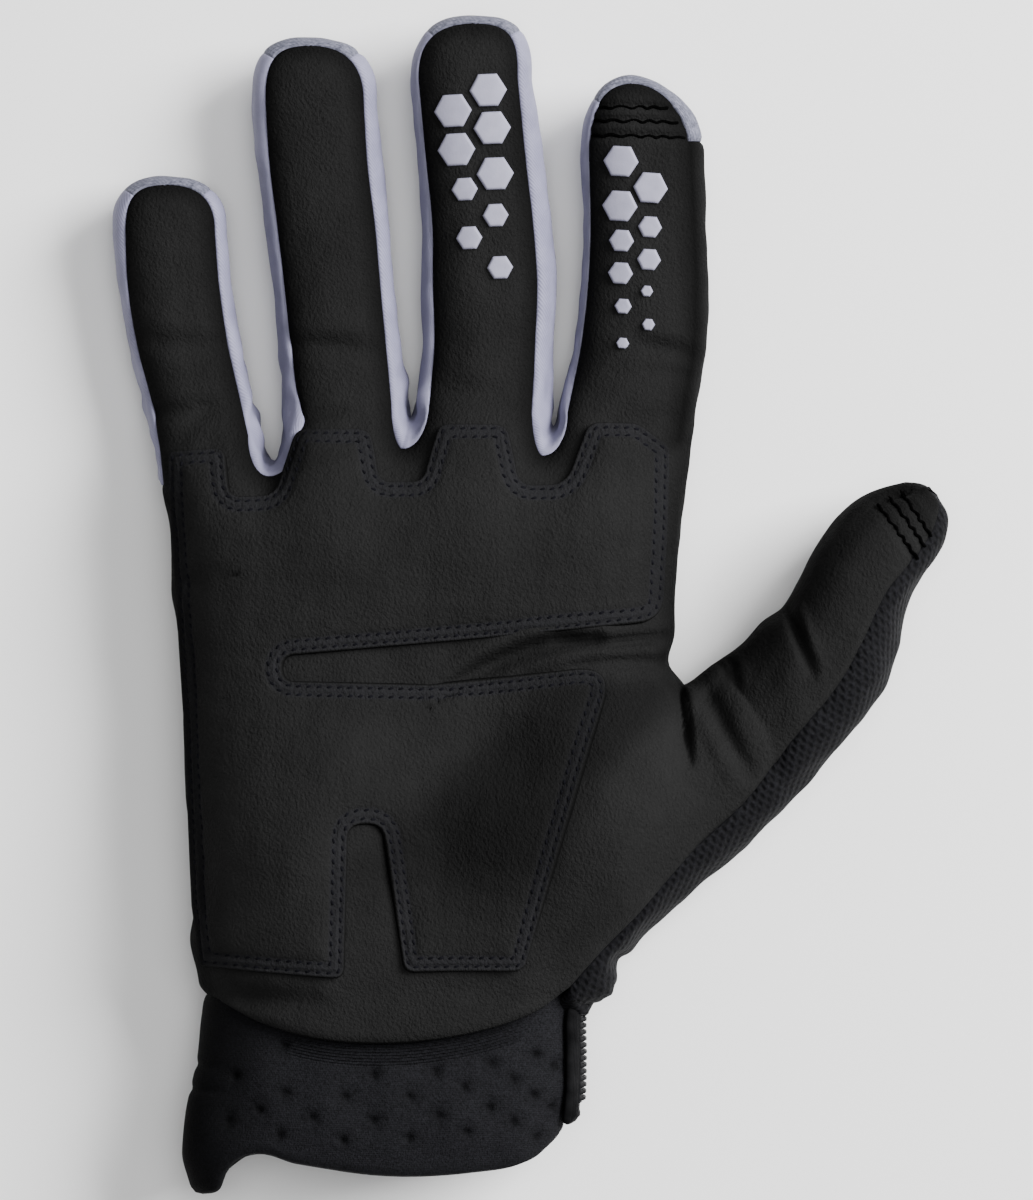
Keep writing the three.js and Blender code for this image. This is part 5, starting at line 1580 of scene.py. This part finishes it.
def on_grid(grid, path, lift):
    """Points of a path in plan laid on a grid of points, and the normals there: the mean of the
    nearest six, each weighed by how near it is."""
    across, down = np.gradient(grid, axis=1), np.gradient(grid, axis=0)
    square = np.cross(across, down).reshape(-1, 3)
    square *= np.sign(square[:, 2:]) / np.linalg.norm(square, axis=1, keepdims=True)
    flat = grid.reshape(-1, 3)
    gaps = np.linalg.norm(path[:, None] - flat[:, :2], axis=2)
    nearest = np.argsort(gaps, axis=1)[:, :6]
    share = 1 / (np.take_along_axis(gaps, nearest, axis=1) + 0.05) ** 2
    share = (share / share.sum(axis=1, keepdims=True))[..., None]
    normals = (square[nearest] * share).sum(axis=1)
    height = (flat[nearest, 2] * share[..., 0]).sum(axis=1) + creases(path[:, 0], path[:, 1])
    return stack(path[:, 0], path[:, 1], height) + normals * lift, normals


def wavy_rows(rows, height, lay):
    """Threads that wind about straight rows, laid on the cloth."""
    t = np.linspace(0, 1, 120)
    made = []
    for x0, y0, x1, y1, waves in zip(*rows.values()):
        length = np.hypot(x1 - x0, y1 - y0)
        calm_ends = np.sin(np.pi * mix(0.1, 0.9, t))
        swing = height * np.sin(2 * np.pi * waves * t + 0.9 * np.sin(9 * t)) * calm_ends
        path = stack(mix(x0, x1, t) - swing * (y1 - y0) / length, mix(y0, y1, t) + swing * (x1 - x0) / length)
        laid, normals = lay(path)
        made.append(tube(laid, normals, TIP_THREAD_RADIUS))
    return joined(made)


points, faces = wavy_rows(INDEX_TIP_ROWS, 0.34, lambda path: on_skin(path, 0.1))
piece("index_tip_stitching", points, faces, tip_thread)
points, faces = wavy_rows(THUMB_TIP_ROWS, 0.22, lambda path: on_grid(palm_thumb, path, 0.24))
piece("thumb_tip_stitching", points, faces, tip_thread)


# Hexagon grips
def hexagon(x, y, width, tilt):
    """A hexagon plate on a finger: rings of a hexagon from its middle out, flat on top with a
    bevel and a wall that goes down into the suede, closed by fans round a middle point."""
    corners = np.radians(60 * np.arange(7) - tilt)
    t = np.linspace(0, 1, 6, endpoint=False)[None, :, None]
    outline = stack(np.cos(corners), np.sin(corners))
    rim = mix(outline[:-1, None], outline[1:, None], t).reshape(-1, 2)
    size = width / 2
    bevel = min(0.45, 0.2 * size) / size
    flat = 1 - 1.5 * bevel
    shares = np.array([flat / 3, flat * 2 / 3, flat, 1 - bevel, 1 - 0.45 * bevel, 1 - 0.1 * bevel, 1, 1, 0.4])
    heights = np.array([1.0, 1.0, 1.0, 0.97, 0.8, 0.5, 0.2, -0.6, -0.6]) * GRIP_HEIGHT
    plan = (rim[None] * size * shares[:, None, None]).reshape(-1, 2)
    plan = np.concatenate([plan, np.zeros((2, 2))]) + np.array([x, y])
    lift = np.concatenate([np.repeat(heights, len(rim)), heights[[0, -1]]])
    points, _ = on_skin(plan, lift)
    ids = np.arange(len(points) - 2).reshape(len(shares), -1)
    a, b = ids[:-1], ids[1:]
    walls = np.stack([a, b, np.roll(b, -1, axis=1), np.roll(a, -1, axis=1)], axis=-1).reshape(-1, 4)
    middle, foot = len(points) - 2, len(points) - 1
    first, last = ids[0], ids[-1]
    top = np.stack([np.full(len(rim), middle), first, np.roll(first, -1), np.roll(first, -1)], axis=1)
    under = np.stack([np.full(len(rim), foot), np.roll(last, -1), last, last], axis=1)
    return points, np.concatenate([walls, top, under])


for name, grips in GRIPS.items():
    for i, (x, y, width) in enumerate(zip(*grips["rows"].values())):
        points, faces = hexagon(x, y, width, grips["tilt"])
        node = f"{name}_grip_{i + 1}"
        piece(node + "_rubber", points, faces, grip_rubber, node)


# Cuff and its closure
def cuff_point(angle, y):
    """Superellipse section of the cuff, by the angle round it (0 on the thumb side, 90 in front)."""
    left, right, front, back = (at(CUFF, "y", y, column) for column in ("left", "right", "front", "back"))
    bend = 2 / CUFF_POWER
    x = (left + right) / 2 + (right - left) / 2 * power(np.cos(np.radians(angle)), bend)
    z = (front + back) / 2 + (front - back) / 2 * power(np.sin(np.radians(angle)), bend)
    return stack(x, y, z)


def even_angles(first, last, count):
    """Angles round the cuff at equal distances along its section."""
    angle = np.linspace(first, last, 2000)
    section = cuff_point(angle, np.full(2000, -95.0))
    length = np.concatenate([[0], np.cumsum(np.linalg.norm(np.diff(section, axis=0), axis=1))])
    return np.interp(np.linspace(0, length[-1], count + 1), length, angle)


def cuff_rows():
    """Rows of the cuff from its top down to its lower edge, which differs in front and behind."""
    angle = even_angles(0, -360, CUFF_CELLS["round"])
    low_x = cuff_point(angle, np.full(len(angle), -108.0))[:, 0]
    front, back = at(CUFF_FRONT_EDGE, "x", low_x, "y"), at(CUFF_BACK_EDGE, "x", low_x, "y")
    lowest = np.where(np.sin(np.radians(angle)) >= 0, front, back)
    down = np.linspace(0, 1, CUFF_CELLS["down"] + 1)[:, None]
    y = mix(CUFF_TOP, lowest, down)
    return cuff_point(np.broadcast_to(angle, y.shape), y)


def hole_distance(points):
    """Distance in plan to the nearest hole, far away on the back of the cuff."""
    centres = stack(HOLES["x"], HOLES["y"])
    gaps = np.linalg.norm(points[:, None, :2] - centres, axis=2).min(axis=1)
    return np.where(points[:, 2] > 16, gaps, 99)


def heel_rows(points):
    """Distance below the suede's heel, and the share of the stitched rows there: full in the
    middle of the cuff's front and nothing past the rows' ends."""
    below = at(HEEL, "x", points[:, 0], "y") - points[:, 1]
    zone = smooth((below + 1) / 1.5) * smooth((5.5 - below) / 1.5) * smooth((points[:, 2] - 20) / 5)
    return below, zone * smooth((points[:, 0] + 50) / 6) * smooth((1 - points[:, 0]) / 6)


def cuff_shape(points, distance):
    """Puckered holes, fine sewn ribs under the heel, and soft folds."""
    gaps = hole_distance(points)
    pucker = -0.75 * hump(gaps, 0.7) - 0.3 * hump(gaps, 2.2)
    pucker = pucker + 0.14 * ripple(points, 1.9, 51) * hump(gaps, 2.6)
    below, zone = heel_rows(points)
    ribs = 0.1 * np.sin(2 * np.pi * below / (2 * SEWN_ROW_PITCH)) * zone
    folds = 0.22 * ripple(points, 14, 52) * smooth((points[:, 2] - 6) / 6)
    side = smooth((-58 - points[:, 0]) / 6)
    notches = (0.4 * hump(points[:, 1] + 91.9, 0.9) + 0.45 * hump(points[:, 1] + 96.7, 0.9)) * side
    return pucker + ribs + folds - notches - 0.5 * hump(distance, 0.8)


cuff = Sheet().add(cuff_rows())
points, faces, places = body(cuff, CUFF_WALL, cuff_shape, roll=0.25)
below, sewn = heel_rows(points)
from_left = points[:, 0] - at(CUFF, "y", points[:, 1], "left")
cuff_marks = {"hole": hole_distance(points), "below": below, "sewn": sewn, "margin": from_left}
piece("cuff_neoprene", points, faces, neoprene, "cuff", places, cuff_marks)


def band_rows(span, columns, rows, lift):
    """Band round the cuff between two heights and two angles, raised off the cuff along its normals."""
    angle = even_angles(span["start"], span["end"], columns)
    y = np.linspace(span["top"], span["bottom"], rows + 1)[:, None]
    size = (rows + 1, columns + 1)
    grid = cuff_point(np.broadcast_to(angle, size), np.broadcast_to(y, size))
    across = np.gradient(grid, axis=1)
    down = np.gradient(grid, axis=0)
    normal = np.cross(down, across)
    normal /= np.linalg.norm(normal, axis=2, keepdims=True)
    return grid + normal * lift


def strap_shape(points, distance):
    """A raised hem along the strap's edge."""
    return 0.35 * hump(distance - 1.4, 0.5) - 0.45 * hump(distance, 0.6)


strap_top = STRAP["clear"] + STRAP["wall"]
strap = Sheet().add(band_rows(STRAP, 120, 40, strap_top))
points, faces, places = body(strap, STRAP["wall"], strap_shape, roll=0.3)
piece("closure_strap_webbing", points, faces, webbing, "closure_strap", places)

RIBS["bottom"] = RIBS["top"] - RIBS["pitch"] * RIBS["count"]
ribs = Sheet().add(band_rows(RIBS, 30, RIBS["count"] * 12, strap_top + RIBS["base"]))


def rib_shape(points, distance):
    """Rounded ribs across the strap's cover, cut off at its edges."""
    place = (RIBS["top"] - points[:, 1]) / RIBS["pitch"]
    tooth = smooth(1.35 * np.abs(np.sin(np.pi * place)) - 0.25)
    return RIBS["tall"] * tooth * smooth(distance / 0.35)


points, faces, places = body(ribs, RIBS["base"] + 0.2, rib_shape, roll=0.1)
piece("strap_grip_rubber", points, faces, rib_rubber, "strap_grip", places)


# Stage, light and camera, in metres
FLOOR_HALF = 3.0
FRAME_HEIGHT = 0.24
FRAME_MIDDLE = (-0.0027, 0.0007)
SILHOUETTE_HEIGHT = 0.015


def plain_stage():
    """Plain pale floor, a square under the glove."""
    mesh = bpy.data.meshes.new("floor")
    a = FLOOR_HALF
    corners = [(-a, -a, 0), (a, -a, 0), (a, a, 0), (-a, a, 0)]
    mesh.from_pydata(corners, [], [(0, 1, 2, 3)])
    floor = bpy.data.objects.new("floor", mesh)
    bpy.context.collection.objects.link(floor)
    material = bpy.data.materials.new("pale_floor")
    material.use_nodes = True
    surface = material.node_tree.nodes["Principled BSDF"]
    surface.inputs["Base Color"].default_value = (0.93, 0.93, 0.93, 1)
    surface.inputs["Roughness"].default_value = 0.9
    mesh.materials.append(material)


def area_light(name, place, target, size, energy):
    """Soft square light at a place in metres, turned to a target."""
    data = bpy.data.lights.new(name, "AREA")
    data.size = size
    data.energy = energy
    lamp = bpy.data.objects.new(name, data)
    lamp.location = place
    lamp.rotation_euler = (Vector(target) - Vector(place)).to_track_quat("-Z", "Y").to_euler()
    bpy.context.collection.objects.link(lamp)


plain_stage()
area_light("key", (1.0, 0.5, 0.85), (0, 0, 0), 0.8, 58)
area_light("fill", (0.1, 0.1, 1.75), (0, 0, 0), 0.9, 16)
world = bpy.data.worlds.new("studio")
bpy.context.scene.world = world
world.use_nodes = True
world.node_tree.nodes["Background"].inputs["Color"].default_value = (1, 1, 1, 1)
world.node_tree.nodes["Background"].inputs["Strength"].default_value = 0.33

camera_data = bpy.data.cameras.new("camera")
camera_data.lens = 210
camera_data.sensor_width = 36
camera_data.sensor_fit = "AUTO"
camera_data.clip_end = 20
camera = bpy.data.objects.new("camera", camera_data)
away = camera_data.lens * FRAME_HEIGHT / camera_data.sensor_width
camera.location = (*FRAME_MIDDLE, SILHOUETTE_HEIGHT + away)
bpy.context.collection.objects.link(camera)
bpy.context.scene.camera = camera
